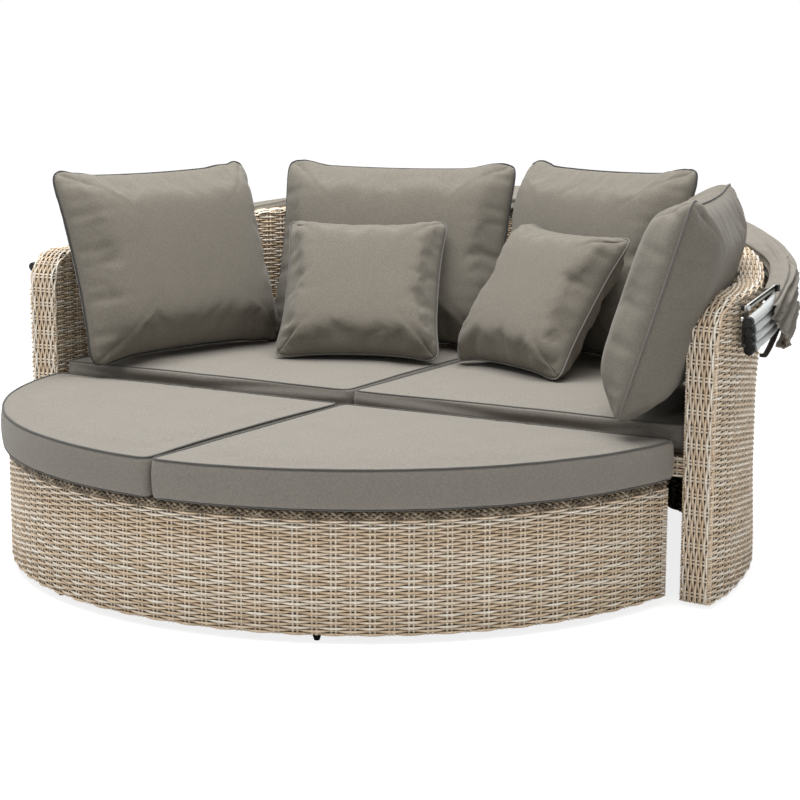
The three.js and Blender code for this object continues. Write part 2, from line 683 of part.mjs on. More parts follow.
// An end fitting: the cap with the pin that the bow above turns on, and a lug down to the
// pin of the bow below. The lowest turns on the bracket's stud.
function makeEnd(k) {
  const centre = bowPivot(k);
  const lugIn = END_R + SEAT_GAP;
  const lugOut = lugIn + LUG_T;
  const along = (point, from, to, radius, sides = 10) =>
    acrossX(point, point.x + from, point.x + to, radius, sides);
  const parts = [makeCap(centre)];
  const holes = [];
  if (k > 1) {
    const headIn = lugOut + SEAT_GAP;
    parts.push(along(centre, 0, headIn + PIN_HEAD_T, PIN_R));
    parts.push(along(centre, headIn, headIn + PIN_HEAD_T, PIN_HEAD_R, 6));
  }
  if (k < BOWS) {
    const below = bowPivot(k + 1);
    parts.push(along(below, lugIn, lugOut, LUG_R, 12));
    const top = centre.clone().setX(below.x);
    parts.push(link(below, top, lugIn, lugOut, LUG_R));
    holes.push(along(below, lugIn - OVERRUN, lugOut + OVERRUN, PIN_R + RUN_GAP));
  } else {
    holes.push(along(centre, -END_R - OVERRUN, 0, PIN_R + RUN_GAP));
  }
  const body = join(...parts);
  return holes.length ? cut(body, ...holes) : body;
}

// A flat link in the YZ plane between two points, from one depth in X to another
function link(from, to, near, far, halfWidth) {
  const axis = new THREE.Vector3().subVectors(to, from);
  const plate = new THREE.BoxGeometry(far - near, 2 * halfWidth, axis.length());
  plate.rotateX(-Math.atan2(axis.y, axis.z));
  const middle = new THREE.Vector3().addVectors(from, to).multiplyScalar(0.5);
  return plate.translate(from.x + (near + far) / 2, middle.y, middle.z);
}

// The bracket on the arm: a plate with the stud of the lowest bow and one fixing screw
function makeBracket() {
  const pivot = bowPivot(BOWS);
  const inner = WALL_OUTER_R + SEAT_GAP;
  const outer = inner + BRACKET_T;
  const [bottom, top] = [pivot.z - BRACKET_DOWN, pivot.z + BRACKET_UP];
  const plate = block(inner, outer, pivot.y - BRACKET_W / 2, pivot.y + BRACKET_W / 2, bottom, top);
  const stud = acrossX(pivot, inner + BRACKET_T / 2, pivot.x - SEAT_GAP, PIN_R, 10);
  const screwAt = new THREE.Vector3(inner, pivot.y, top - 2 * DOME_R);
  const dome = bar(screwAt, screwAt.clone().setX(outer + BRACKET_T), DOME_R, 14, DOME_R / 2);
  return join(plate, stud, dome);
}

function makeBows() {
  for (let k = 1; k <= BOWS; k++) {
    place(`canopy_bow_${k}`, sweep(roundSection(BOW_TUBE_R, BOW_TUBE_SIDES), new BowPath(k), 30), tube);
    const end = makeEnd(k);
    place(`bow_end_right_${k}`, end, black);
    place(`bow_end_left_${k}`, mirrored(end), black);
  }
  const bracket = makeBracket();
  place('canopy_bracket_right', bracket, black);
  place('canopy_bracket_left', mirrored(bracket), black);
}

// The cloth gathered on each bow. A section is drawn out from the tube and above its plane;
// the top gather laps over the tube towards the wall, the lowest hangs down outside it.
const CLOTH_IN = BOW_TUBE_R + 2 * SEAT_GAP;
const CLOTH_HALF = BOW_PITCH / 2 - 2 * SEAT_GAP;
const CLOTH_RIPPLE_SHARE = CLOTH_WAVE / CLOTH_OUT;

// Rows of shares: of the swell, and of half the pitch
const TOP_FRONT_SHARES = [[0.85, -0.8], [1, -0.1]];
const MIDDLE_SHARES = [[0.7, -1], [1, -0.45], [1.04, 0.2], [0.85, 0.85], [0.5, 1]];
const HANG_TOP_SHARES = [[0.9, 0.5], [0.5, 1]];
// Rows of shares: of the swell, and of the hang
const HANG_IN_SHARES = [[0.62, 0.35], [0.55, 0.7], [0.28, 1]];
const HANG_OUT_SHARES = [[0.55, 1], [0.98, 0.72], [1.06, 0.35]];
// Rows of shares: of the lap, and of the cloth's thickness over the tube
const LAP_SHARES = [[0.45, 1.1], [0, 1.35], [-0.5, 1.2], [-1, 0.5], [-0.9, 0]];
// At its ends the cloth hangs and laps by these shares of what it does further back
const SHORT_HANG_SHARE = 0.45;
const SHORT_LAP_SHARE = 0.3;

function grown(angle, shortShare) {
  const fromEnd = Math.min(angle, Math.PI - angle) - CLOTH_START_ANGLE;
  return shortShare + (1 - shortShare) * smooth(fromEnd / CLOTH_START_ANGLE);
}

function topSection(angle, swell) {
  const lap = CLOTH_FLAP * grown(angle, SHORT_LAP_SHARE) + CLOTH_WAVE * Math.sin(5 * angle);
  return [
    [CLOTH_IN, -CLOTH_HALF],
    ...TOP_FRONT_SHARES.map(([out, up]) => [swell * out, CLOTH_HALF * up]),
    ...LAP_SHARES.map(([out, up]) => [lap * out, CLOTH_IN + CLOTH_LAYER * up]),
    [CLOTH_IN, CLOTH_IN],
  ];
}

function hangSection(angle, swell) {
  const hang = CLOTH_HANG * grown(angle, SHORT_HANG_SHARE) + 2 * CLOTH_WAVE * Math.sin(9 * angle);
  const hung = ([out, down]) => [swell * out, -hang * down];
  return [
    [CLOTH_IN, -CLOTH_HALF],
    ...HANG_IN_SHARES.map(hung),
    ...HANG_OUT_SHARES.map(hung),
    ...HANG_TOP_SHARES.map(([out, up]) => [swell * out, CLOTH_HALF * up]),
    [CLOTH_IN, CLOTH_HALF],
  ];
}

function clothSection(k, angle) {
  const swell = CLOTH_OUT * (1 + CLOTH_RIPPLE_SHARE * Math.sin(7 * angle + 2.1 * k));
  if (k === 1) return topSection(angle, swell);
  if (k === BOWS) return hangSection(angle, swell);
  return [
    [CLOTH_IN, -CLOTH_HALF],
    ...MIDDLE_SHARES.map(([out, up]) => [swell * out, CLOTH_HALF * up]),
    [CLOTH_IN, CLOTH_HALF],
  ];
}

function makeCloth() {
  const stations = 32;
  for (let k = 1; k <= BOWS; k++) {
    const rings = [];
    const ends = [];
    for (let i = 0; i <= stations; i++) {
      const angle = CLOTH_START_ANGLE + ((Math.PI - 2 * CLOTH_START_ANGLE) * i) / stations;
      const section = clothSection(k, angle);
      rings.push(section.map(([out, above]) => bowPoint(k, angle, out, above)));
      if (i === 0 || i === stations) ends.push(section.map(([a, b]) => new THREE.Vector2(a, b)));
    }
    place(`canopy_fold_${k}`, loft(rings, ends), canopyCloth);
  }
}

// The stay lies on the front bow. Its rear eye turns on a lug that stands on the tube;
// a hand screw with a nut sits in its free front eye.
const STAY_X = TOP_PIVOT.x - STAY_IN;

function stayPoint(back) {
  const rise = back * Math.tan(BOW_TILT) + STAY_LIFT / Math.cos(BOW_TILT);
  return new THREE.Vector3(STAY_X, TOP_PIVOT.y + back, TOP_PIVOT.z + rise);
}

function makeStay() {
  const [front, rear] = [stayPoint(STAY_BACK), stayPoint(STAY_BACK + STAY_L)];
  const [near, far] = [STAY_X - STAY_W / 2, STAY_X + STAY_W / 2];
  const body = join(
    link(front, rear, -STAY_W / 2, STAY_W / 2, STAY_H / 2),
    acrossX(front, near, far, STAY_EYE_R),
    acrossX(rear, near, far, STAY_EYE_R)
  );
  const hole = (p) => acrossX(p, near - OVERRUN, far + OVERRUN, STAY_PIN_R + RUN_GAP);
  const stay = cut(body, hole(front), hole(rear));
  const knobOut = near - SEAT_GAP;
  const nutIn = far + SEAT_GAP;
  const screw = join(
    acrossX(front, knobOut - KNOB_L, knobOut, KNOB_R, 12),
    acrossX(front, knobOut - KNOB_L / 2, nutIn + NUT_T, STAY_PIN_R),
    acrossX(front, nutIn, nutIn + NUT_T, NUT_R, 6)
  );
  const tubeTop = rear.z - (STAY_LIFT - BOW_TUBE_FLAT - SEAT_GAP) / Math.cos(BOW_TILT);
  const seatX = far + SEAT_GAP;
  const half = STAY_EYE_R;
  const foot = tubeTop + half * Math.tan(BOW_TILT);
  const lug = join(
    block(seatX, seatX + 2 * LUG_T, rear.y - half, rear.y + half, foot, rear.z + half),
    acrossX(rear, near - SEAT_GAP - LUG_T / 2, seatX + LUG_T, STAY_PIN_R)
  );
  const pieces = [['stay', stay, tube], ['stay_screw', screw, steel], ['stay_lug', lug, black]];
  for (const [name, geometry, material] of pieces) {
    place(`${name}_right`, geometry, material);
    place(`${name}_left`, mirrored(geometry), material);
  }
}

// The tie strap: a band of webbing under the lowest tube that ends in a loop. Its route is
// in shares of the angle where the cloth starts, and of its own width below the tube.
const STRAP_ROUTE_SHARES = [
  [0.842, 0], [0.717, 0.08], [0.537, 0.6], [0.358, 1.15], [0.233, 1.5], [0.179, 1.3], [0.2, 0.95],
];

function makeStrap() {
  const under = -(BOW_TUBE_FLAT + SEAT_GAP + STRAP_T / 2);
  const points = STRAP_ROUTE_SHARES.map(([turn, sag]) =>
    bowPoint(BOWS, turn * CLOTH_START_ANGLE, 0, under - sag * STRAP_W)
  );
  const path = new THREE.CatmullRomCurve3(points);
  const steps = 20;
  const rings = [];
  for (let i = 0; i <= steps; i++) {
    const middle = path.getPointAt(i / steps);
    const across = new THREE.Vector3(middle.x, 0, 0).normalize();
    const thin = new THREE.Vector3().crossVectors(path.getTangentAt(i / steps), across).normalize();
    const corner = (a, b) =>
      middle.clone().addScaledVector(across, (a * STRAP_W) / 2).addScaledVector(thin, (b * STRAP_T) / 2);
    rings.push([corner(-1, -1), corner(1, -1), corner(1, 1), corner(-1, 1)]);
  }
  const end = [[-1, -1], [1, -1], [1, 1], [-1, 1]].map(([a, b]) => new THREE.Vector2(a, b));
  const strap = loft(rings, [end, end]);
  place('tie_strap_right', strap, webbing);
  place('tie_strap_left', mirrored(strap), webbing);
}

makeWall();
makeWallFrame();
makeGlides();
makeSeatFrame();
makeSeatPanels();
makeSeatCushions();
makeLooseCushions();
makeOttomanWalls();
makeOttomanBorder();
makeOttomanFrame();
makeOttomanTop();
makeBows();
makeCloth();
makeStay();
makeStrap();

// The part's origin is on the floor, at the middle of the space that it takes up
const space = new THREE.Box3().setFromObject(daybed);
daybed.position.y = -(space.min.y + space.max.y) / 2;

export default daybed;
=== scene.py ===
import math

import bpy
import numpy as np
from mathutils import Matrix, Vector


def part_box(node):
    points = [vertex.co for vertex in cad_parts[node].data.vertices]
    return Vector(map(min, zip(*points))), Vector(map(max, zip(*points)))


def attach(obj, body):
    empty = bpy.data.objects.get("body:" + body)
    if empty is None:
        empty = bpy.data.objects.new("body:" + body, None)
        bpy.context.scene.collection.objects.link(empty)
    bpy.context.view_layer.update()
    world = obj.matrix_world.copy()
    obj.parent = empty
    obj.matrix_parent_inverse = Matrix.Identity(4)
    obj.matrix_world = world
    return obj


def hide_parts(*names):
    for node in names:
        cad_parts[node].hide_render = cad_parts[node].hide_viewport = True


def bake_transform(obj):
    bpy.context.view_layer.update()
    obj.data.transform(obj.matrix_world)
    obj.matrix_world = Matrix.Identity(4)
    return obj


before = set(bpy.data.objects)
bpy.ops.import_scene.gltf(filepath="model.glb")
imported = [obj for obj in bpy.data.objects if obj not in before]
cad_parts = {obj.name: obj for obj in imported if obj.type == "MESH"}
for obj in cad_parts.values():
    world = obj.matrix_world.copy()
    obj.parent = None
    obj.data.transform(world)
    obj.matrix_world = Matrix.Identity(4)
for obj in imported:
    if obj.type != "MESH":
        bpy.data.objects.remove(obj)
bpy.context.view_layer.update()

# The studio: a pale floor, a soft lamp above and weaker ones at the sides, and a camera that
# looks at the daybed from the right of its front, a little above the seat. The middle of the
# daybed's circle lies behind the origin; a seat leg stands a known way in front of it.
LEG_FRONT = 0.0495
leg_low, leg_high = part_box("seat_leg_right")
MIDDLE_Y = (leg_low.y + leg_high.y) / 2 + LEG_FRONT

scene = bpy.context.scene
scene.view_settings.view_transform = "Standard"

camera_data = bpy.data.cameras.new("camera")
camera_data.lens = 98.01
camera_data.sensor_width = 36.0
camera_data.shift_x = 0.0444
camera_data.shift_y = 0.0469
camera_data.clip_end = 100.0
camera = bpy.data.objects.new("camera", camera_data)
scene.collection.objects.link(camera)
camera_turn, camera_rise, camera_range = math.radians(31.55), math.radians(11.08), 5.865
camera_back = np.array([
    math.sin(camera_turn) * math.cos(camera_rise),
    -math.cos(camera_turn) * math.cos(camera_rise),
    math.sin(camera_rise),
])
camera.location = np.array([0.0, MIDDLE_Y, 0.3]) + camera_back * camera_range
camera.rotation_euler = (math.pi / 2 - camera_rise, 0.0, camera_turn)
scene.camera = camera


def node_writer(tree):
    """A shorthand for a node tree. It sets the inputs of a node, and adds the node first if it is
    given its kind. An underscore stands for a space, and i0 for the first input."""
    def write(node, **inputs):
        if isinstance(node, str):
            node = tree.nodes.new("ShaderNode" + node)
        for key, value in inputs.items():
            socket = node.inputs[int(key[1:]) if key[1:].isdigit() else key.replace("_", " ")]
            if isinstance(value, bpy.types.NodeSocket):
                tree.links.new(value, socket)
            else:
                socket.default_value = value
        return node

    return write


def shader(name):
    """A new material, the shorthand for its node tree, and its principled shader."""
    material = bpy.data.materials.new(name)
    material.use_nodes = True
    return material, node_writer(material.node_tree), material.node_tree.nodes["Principled BSDF"]


def lamp(name, size, power, place, towards):
    """A square area lamp that shines from one point towards another."""
    data = bpy.data.lights.new(name, "AREA")
    data.shape = "SQUARE"
    data.size = size
    data.energy = power
    light = bpy.data.objects.new(name, data)
    scene.collection.objects.link(light)
    light.location = place
    x, y, z = np.array(towards) - np.array(place)
    light.rotation_euler = (math.atan2(math.hypot(x, y), -z), 0.0, math.atan2(x, -y))


lamp("lamp_above", 4.0, 310.0, (-0.3, -0.4, 4.4), (0.0, 0.1, 0.3))
lamp("lamp_left", 3.0, 80.0, (-3.2, -4.4, 2.2), (0.0, 0.0, 0.4))
lamp("lamp_right", 1.4, 85.0, (4.0, -1.6, 0.75), (1.0, 0.0, 0.4))

# The world is white where the camera looks, and dimmer as a light
world = bpy.data.worlds.new("studio")
world.use_nodes = True
scene.world = world
write = node_writer(world.node_tree)
rays = write("LightPath")
seen = write("Math", i0=rays.outputs["Is Camera Ray"], i1=rays.outputs["Is Glossy Ray"])
seen.operation = "MAXIMUM"
strength = write("MapRange", Value=seen.outputs[0], To_Min=0.42, To_Max=1.0)
write(world.node_tree.nodes["Background"], Color=(1, 1, 1, 1), Strength=strength.outputs[0])

FLOOR_HALF = 60.0
floor_mesh = bpy.data.meshes.new("floor")
floor_mesh.from_pydata(
    [(FLOOR_HALF * x, FLOOR_HALF * y, 0) for x, y in ((-1, -1), (1, -1), (1, 1), (-1, 1))],
    [], [(0, 1, 2, 3)],
)
floor = bpy.data.objects.new("floor", floor_mesh)
scene.collection.objects.link(floor)
floor_material, write, matte = shader("floor")
write(matte, Base_Color=(0.86, 0.86, 0.86, 1), Roughness=0.9)
glow = write("Emission", Color=(1, 1, 1, 1), Strength=1.66)
share = write("MapRange", Value=write("LightPath").outputs["Is Camera Ray"], To_Max=0.5)
mix = write("MixShader", Fac=share.outputs[0], i1=matte.outputs[0], i2=glow.outputs[0])
write(floor_material.node_tree.nodes["Material Output"], Surface=mix.outputs[0])
floor_mesh.materials.append(floor_material)


# The woven wall: flat strands of synthetic wicker, woven over pairs of upright stakes on
# both faces of a welded frame. A dark sheet behind the weave closes the gaps between the
# strands: painted shade for the hollow inside the wall.
WALL_INNER, WALL_OUTER, WALL_BASE = 0.975, 1.060, 0.011
RIM_LOW, RIM_RISE, RIM_CORNER, RIM_EDGE = 0.755, 0.077, 0.095, 0.012
WALL_MIDDLE = (WALL_INNER + WALL_OUTER) / 2
WALL_FRONT = math.asin(-0.115 / WALL_MIDDLE)
ARM_FLAT, WALL_WAIST = 0.016, 0.012
ARM_END = 0.32               # how far the arm's front end reaches round, in radians
STAKE_PITCH = 0.045          # between pairs of stakes
STAKE_APART = 0.0055         # half the distance between the stakes of a pair
STRAND_PITCH = 0.0070        # between rows
STRAND_DEPTH = 0.0042        # from the wall's face in to the middle of the weave
STRAND_SWING = 0.0032        # how far a strand passes in front of a stake
PANEL_SPLIT = math.radians(45)


def eased(share):
    """Nought to one with a soft start and end: 3 s^2 - 2 s^3."""
    share = np.clip(share, 0, 1)
    return share * share * (3 - 2 * share)


def rim_height(angle):
    """The rim's height round the wall: low on the arms, then a smooth rise to the back, and a
    quarter circle down at each front corner."""
    level = RIM_LOW + RIM_RISE * eased((np.sin(angle) - 0.25) / (0.72 - 0.25))
    from_front = (np.minimum(angle, math.pi - angle) - WALL_FRONT) * WALL_MIDDLE
    short = np.clip(RIM_CORNER - from_front, 0, RIM_CORNER)
    return level - RIM_CORNER + np.sqrt(RIM_CORNER**2 - short**2)


def round_point(radius, angle, z):
    """Points at a radius and angle round the daybed's middle, at a height. The wall's outer face
    stands in a little from its circle: in a shallow waist below the rim and beside the arms."""
    radius, angle, z = np.broadcast_arrays(radius, angle, z)
    beside = np.minimum(angle, math.pi - angle)
    arm = eased((beside - WALL_FRONT) / ARM_END)
    flat = ARM_FLAT * arm * (1 - eased((beside - 0.80) / 0.5))
    waist = WALL_WAIST * eased((0.70 - z) / 0.26) * (1 - 0.5 * eased((0.28 - z) / 0.24))
    outer = np.clip((radius - WALL_INNER) / (WALL_OUTER - RIM_EDGE - WALL_INNER), 0, 1)
    radius = radius - outer * (flat + waist * (0.15 + 0.85 * arm))
    return np.stack([radius * np.cos(angle), MIDDLE_Y + radius * np.sin(angle), z], -1)


def quads_of(number):
    """Quads between the neighbours in a grid of point numbers."""
    corners = number[:-1, :-1], number[:-1, 1:], number[1:, 1:], number[1:, :-1]
    return np.stack(corners, -1).reshape(-1, 4)


def grid_faces(rows, columns, close=False):
    """Quads between the points of a grid that is stored row by row. Closed, the last column
    joins the first."""
    number = np.arange(rows * columns).reshape(rows, columns)
    return quads_of(np.hstack([number, number[:, :1]]) if close else number)


def unit(v):
    """Vectors scaled to length one."""
    return v / np.maximum(np.linalg.norm(v, axis=-1, keepdims=True), 1e-12)


def rings_round(path, first, second, deep, wide, sides):
    """An ellipse round each point of a path: path + first deep cos(t) + second wide sin(t)."""
    turn = (2 * math.pi * np.arange(sides) / sides)[None, :, None]
    first, second = (np.broadcast_to(axis, path.shape)[:, None] for axis in (first, second))
    deep, wide = (np.broadcast_to(half, (len(path),))[:, None, None] for half in (deep, wide))
    return path[:, None] + first * np.cos(turn) * deep + second * np.sin(turn) * wide


class Shape:
    """Gathers surfaces into one mesh: points, faces, and a tone kept for each point."""

    def __init__(self):
        self.points, self.faces, self.tones, self.count = [], [], [], 0

    def add(self, points, faces, tone=0.0):
        points = np.asarray(points, float).reshape(-1, 3)
        self.points.append(points)
        self.faces.append(np.asarray(faces) + self.count)
        self.tones.append(np.broadcast_to(np.asarray(tone, float).ravel(), (len(points),)))
        self.count += len(points)

    def strand(self, path, out, half_width, half_depth, sides=4, tone=0.0):
        """A strand along a path: at each step an ellipse of a few points, whose first point lies
        along the out direction. The ends of a four-sided one are closed."""
        path, out = np.asarray(path, float), np.asarray(out, float)
        along = unit(np.gradient(path, axis=0))
        out = unit(out - along * np.sum(out * along, -1, keepdims=True))
        ring = rings_round(path, out, np.cross(along, out), half_depth, half_width, sides)
        tone = np.broadcast_to(np.asarray(tone, float), (len(path),))
        self.add(ring, grid_faces(len(path), sides, close=True), np.repeat(tone, sides))
        if sides == 4:
            last, corner = self.count - 4, np.arange(4)
            first = self.count - 4 * len(path)
            self.faces.append(np.stack([first + corner[::-1], last + corner]))

    def closed_tube(self, rings):
        """Rings of points as a tube whose ends are closed by fans round their middles."""
        rows, sides = rings.shape[:2]
        first, j = self.count, np.arange(sides)
        after = (j + 1) % sides
        self.add(rings, grid_faces(rows, sides, close=True))
        self.add(rings[[0, -1]].mean(1), np.zeros((0, 4), int))
        hub, last = self.count - 2, first + (rows - 1) * sides
        self.faces.append(np.stack([np.full(sides, hub), first + after, first + j], -1))
        self.faces.append(np.stack([np.full(sides, hub + 1), last + j, last + after], -1))

    def piece(self, name, material, body, slot, *replaced, smooth=True, toned=False):
        """Makes the mesh an object that rides on a body, and hides the nodes that it stands for.
        Its slot is not used."""
        mesh = bpy.data.meshes.new(name)
        points = np.concatenate(self.points)
        quads, others = (
            np.concatenate([np.zeros((0, n), int)] + [f for f in self.faces if f.shape[1] == n])
            for n in (4, 3)
        )
        loops = np.concatenate([quads.ravel(), others.ravel()])
        sizes = np.concatenate([np.full(len(quads), 4), np.full(len(others), 3)])
        mesh.vertices.add(len(points))
        mesh.vertices.foreach_set("co", points.astype(np.float32).ravel())
        mesh.loops.add(len(loops))
        mesh.loops.foreach_set("vertex_index", loops.astype(np.int32))
        mesh.polygons.add(len(sizes))
        mesh.polygons.foreach_set("loop_start", (np.cumsum(sizes) - sizes).astype(np.int32))
        mesh.update(calc_edges=True)
        mesh.polygons.foreach_set("use_smooth", np.full(len(sizes), smooth))
        if toned:
            tones = np.concatenate(self.tones).astype(np.float32)
            mesh.attributes.new("tone", "FLOAT", "POINT").data.foreach_set("value", tones)
        mesh.materials.append(material)
        made = bpy.data.objects.new(name, mesh)
        scene.collection.objects.link(made)
        if body:
            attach(made, body)
        if replaced:
            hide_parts(*replaced)
        return made


def spread(write, level, *colours, span=(0.0, 1.0)):
    """Two or three colours spread over a level between two values."""
    ramp = write("ValToRGB", Fac=level)
    low, high = ramp.color_ramp.elements
    low.position, high.position = span
    low.color, high.color = (*colours[0], 1), (*colours[-1], 1)
    if len(colours) == 3:
        ramp.color_ramp.elements.new(0.5).color = (*colours[1], 1)
    return ramp.outputs[0]


def wicker_material(name, dark, middle, light):
    """Extruded synthetic wicker: each strand has its own tone from dark to light, finer streaks
    along and across it, and a soft plastic shine."""
    material, write, principled = shader(name)
    tone = write("Attribute")
    tone.attribute_name = "tone"
    place = write("TexCoord").outputs["Object"]
    patch = write("TexNoise", Vector=place, Scale=95.0, Detail=2.0).outputs["Fac"]
    streak = write("TexNoise", Vector=place, Scale=700.0, Detail=3.0).outputs["Fac"]
    mixed = write("Math", i0=tone.outputs["Fac"], i1=patch)
    level = write("MapRange", Value=mixed.outputs[0], From_Min=0.30, From_Max=1.65)
    bump = write("Bump", Height=streak, Strength=0.25, Distance=0.0006)
    rough = write("MapRange", Value=streak, To_Min=0.42, To_Max=0.62)
    write(
        principled, Base_Color=spread(write, level.outputs[0], dark, middle, light),
        Normal=bump.outputs[0], Roughness=rough.outputs[0],
    )
    return material


wicker = wicker_material("wicker", (0.43, 0.31, 0.18), (0.79, 0.62, 0.44), (0.97, 0.90, 0.78))

# The shade lining: dark brown, painted shade for the hollow behind the weave, seen through the
# gaps between the strands.
shade_lining, write, principled = shader("wicker_shade_lining")
noise = write("TexNoise", Vector=write("TexCoord").outputs["Object"], Scale=140.0, Detail=3.0)
shade_lining_tones = spread(write, noise.outputs["Fac"], (0.07, 0.046, 0.028), (0.17, 0.12, 0.075))
write(principled, Base_Color=shade_lining_tones, Roughness=0.85)

random = np.random.default_rng(7)
STEPS_PER_PAIR = 4
WALL_SPAN = math.pi - 2 * WALL_FRONT
wall_steps = int(round(WALL_SPAN / (STAKE_PITCH / WALL_MIDDLE / STEPS_PER_PAIR)))
wall_turns = np.linspace(WALL_FRONT, math.pi - WALL_FRONT, wall_steps + 1)
STAKE_TURN = (wall_turns[1] - wall_turns[0]) * STEPS_PER_PAIR
WALL_PAIRS = int(round(WALL_SPAN / STAKE_TURN))


def weft(shape, place, facing, passed, row, ripple, dark=0.0):
    """One level strand: it swings out over every second pair of stakes and in behind the others,
    the next row the other way round, and is widest where it is on top. place gives its points
    at a distance out from the weave's face, passed counts the pairs of stakes."""
    wave = np.cos(math.pi * (passed - 0.5) + math.pi * row)
    path = place(STRAND_SWING * np.clip(1.35 * wave, -1, 1) - STRAND_DEPTH)
    # The wave term lightens the strand where it swings out over a stake and darkens it where it
    # passes behind one: painted light and shade.
    tone = random.uniform(0.25, 1.0) + 0.12 * np.sin(ripple + row) - dark + 0.10 * wave
    shape.strand(path, facing, 0.0029 + 0.0004 * wave, 0.0019, tone=tone)


def stake(shape, path, facing):
    """One upright stake at the middle of the weave."""
    facing = np.broadcast_to(facing, path.shape)
    shape.strand(path, facing, 0.0026, 0.0016, tone=random.uniform(0.7, 1.1))


def round_weft(shape, turns, radius, out, z, row, start, pitch, dark=0.0):
    """A level strand round a face that looks outwards (1) or inwards (-1)."""
    facing = np.stack([out * np.cos(turns), out * np.sin(turns), 0 * turns], -1)
    place = lambda lift: round_point(radius + out * lift, turns, z)
    weft(shape, place, facing, (turns - start) / pitch, row, turns * 23, dark)


def round_stakes(shape, radius, out, start, pitch, pairs, span, low, high, steps):
    """The pairs of stakes of a round face between two angles, up to a height for each angle."""
    for k in range(pairs):
        for side in (-1, 1):
            turn = start + (k + 0.5) * pitch + side * STAKE_APART / radius
            if span[0] <= turn < span[1]:
                z = np.linspace(low, high(turn), steps)
                path = round_point(radius - out * STRAND_DEPTH, turn, z)
                stake(shape, path, [out * math.cos(turn), out * math.sin(turn), 0.0])


def woven_face(name, start, stop, radius, out, *replaced):
    """One face of the wall between two angles: rows of weft from the floor up to the rim, and
    the stakes that they pass. Low on the inner face, below the seat, the strands are darkened:
    painted shade under the seat."""
    shape = Shape()
    inside = (wall_turns >= start - 1e-6) & (wall_turns <= stop + 1e-6)
    for row in range(int((RIM_LOW + RIM_RISE - WALL_BASE) / STRAND_PITCH)):
        z = WALL_BASE + 0.004 + row * STRAND_PITCH
        turns = wall_turns[inside & (rim_height(wall_turns) > z + STRAND_PITCH)]
        if len(turns) > 3:
            # Painted shade: the inner face's strands below the seat are darkened for the shade
            # under it.
            dark = 0.55 if out < 0 and z < 0.35 else 0.0
            round_weft(shape, turns, radius, out, z, row, WALL_FRONT, STAKE_TURN, dark)
    top = lambda turn: float(rim_height(turn)) - 0.008
    round_stakes(
        shape, radius, out, WALL_FRONT, STAKE_TURN, WALL_PAIRS, (start, stop), WALL_BASE, top, 12,
    )
    shape.piece(name, wicker, "sofa", "wicker", *replaced, toned=True)


split = wall_turns[np.argmin(abs(wall_turns - PANEL_SPLIT))]
first, last = wall_turns[0], wall_turns[-1]
woven_face("weave_right_outside", first, split, WALL_OUTER, 1, "wicker_arm_right")
woven_face("weave_back_outside", split, math.pi - split, WALL_OUTER, 1, "wicker_back")
woven_face("weave_left_outside", math.pi - split, last, WALL_OUTER, 1, "wicker_arm_left")
woven_face("weave_right_inside", first, split, WALL_INNER, -1)
woven_face("weave_back_inside", split, math.pi - split, WALL_INNER, -1)
woven_face("weave_left_inside", math.pi - split, last, WALL_INNER, -1)


# The edge of the wall: long strands run up the front of each arm, over its rounded corner and
# round the rim, woven over pairs of short ties that cross the thickness of the wall.
EDGE_STRANDS, EDGE_STEP = 12, 0.0102
TIE_PITCH = 0.041


def run_along(path):
    """The length along a path up to each of its points."""
    return np.concatenate([[0], np.cumsum(np.linalg.norm(np.diff(path, axis=0), axis=1))])


def edge_line():
    """The line up one arm's front, round the rim and down the other front: its angle, its
    height, and its outward direction as a forward and an upward share."""
    climb = np.arange(WALL_BASE, RIM_LOW - RIM_CORNER, EDGE_STEP)
    bend = np.linspace(0, math.pi / 2, 15)
    corner = WALL_FRONT + RIM_CORNER * (1 - np.cos(bend)) / WALL_MIDDLE
    top = np.arange(corner[-1], math.pi / 2, EDGE_STEP / WALL_MIDDLE)[1:]
    turn = np.concatenate([np.full(len(climb), WALL_FRONT), corner, top])
    z = np.concatenate([climb, RIM_LOW - RIM_CORNER + RIM_CORNER * np.sin(bend), rim_height(top)])
    forward = np.concatenate([np.ones(len(climb)), np.cos(bend), np.zeros(len(top))])
    upward = np.concatenate([np.zeros(len(climb)), np.sin(bend), np.ones(len(top))])
    return (
        np.concatenate([turn, math.pi - turn[::-1]]), np.concatenate([z, z[::-1]]),
        np.concatenate([forward, -forward[::-1]]), np.concatenate([upward, upward[::-1]]),
    )


edge_turn, edge_z, edge_forward, edge_upward = edge_line()
edge_outward = np.stack([
    edge_forward * np.sin(edge_turn), -edge_forward * np.cos(edge_turn), edge_upward,
], -1)
edge_run = run_along(round_point(WALL_MIDDLE, edge_turn, edge_z))
tie_pairs = int(round(edge_run[-1] / TIE_PITCH))
TIE_PITCH = edge_run[-1] / tie_pairs


def edge_point(at, across, lift):
    """A point on the wall's edge: at a place along its line, across its rounded width, and
    lifted off it."""
    turn = np.interp(at, edge_run, edge_turn)
    z = np.interp(at, edge_run, edge_z)
    outward = [np.interp(at, edge_run, edge_outward[:, i]) for i in range(3)]
    outward = unit(np.stack(outward, -1))
    over = np.clip(abs(across) - (WALL_OUTER - WALL_MIDDLE - RIM_EDGE), 0, RIM_EDGE)
    drop = RIM_EDGE - np.sqrt(RIM_EDGE**2 - np.minimum(over, 0.98 * RIM_EDGE) ** 2)
    place = round_point(WALL_MIDDLE + across, turn, z)
    return place + outward * (lift - drop - STRAND_DEPTH + 0.001)[..., None], outward


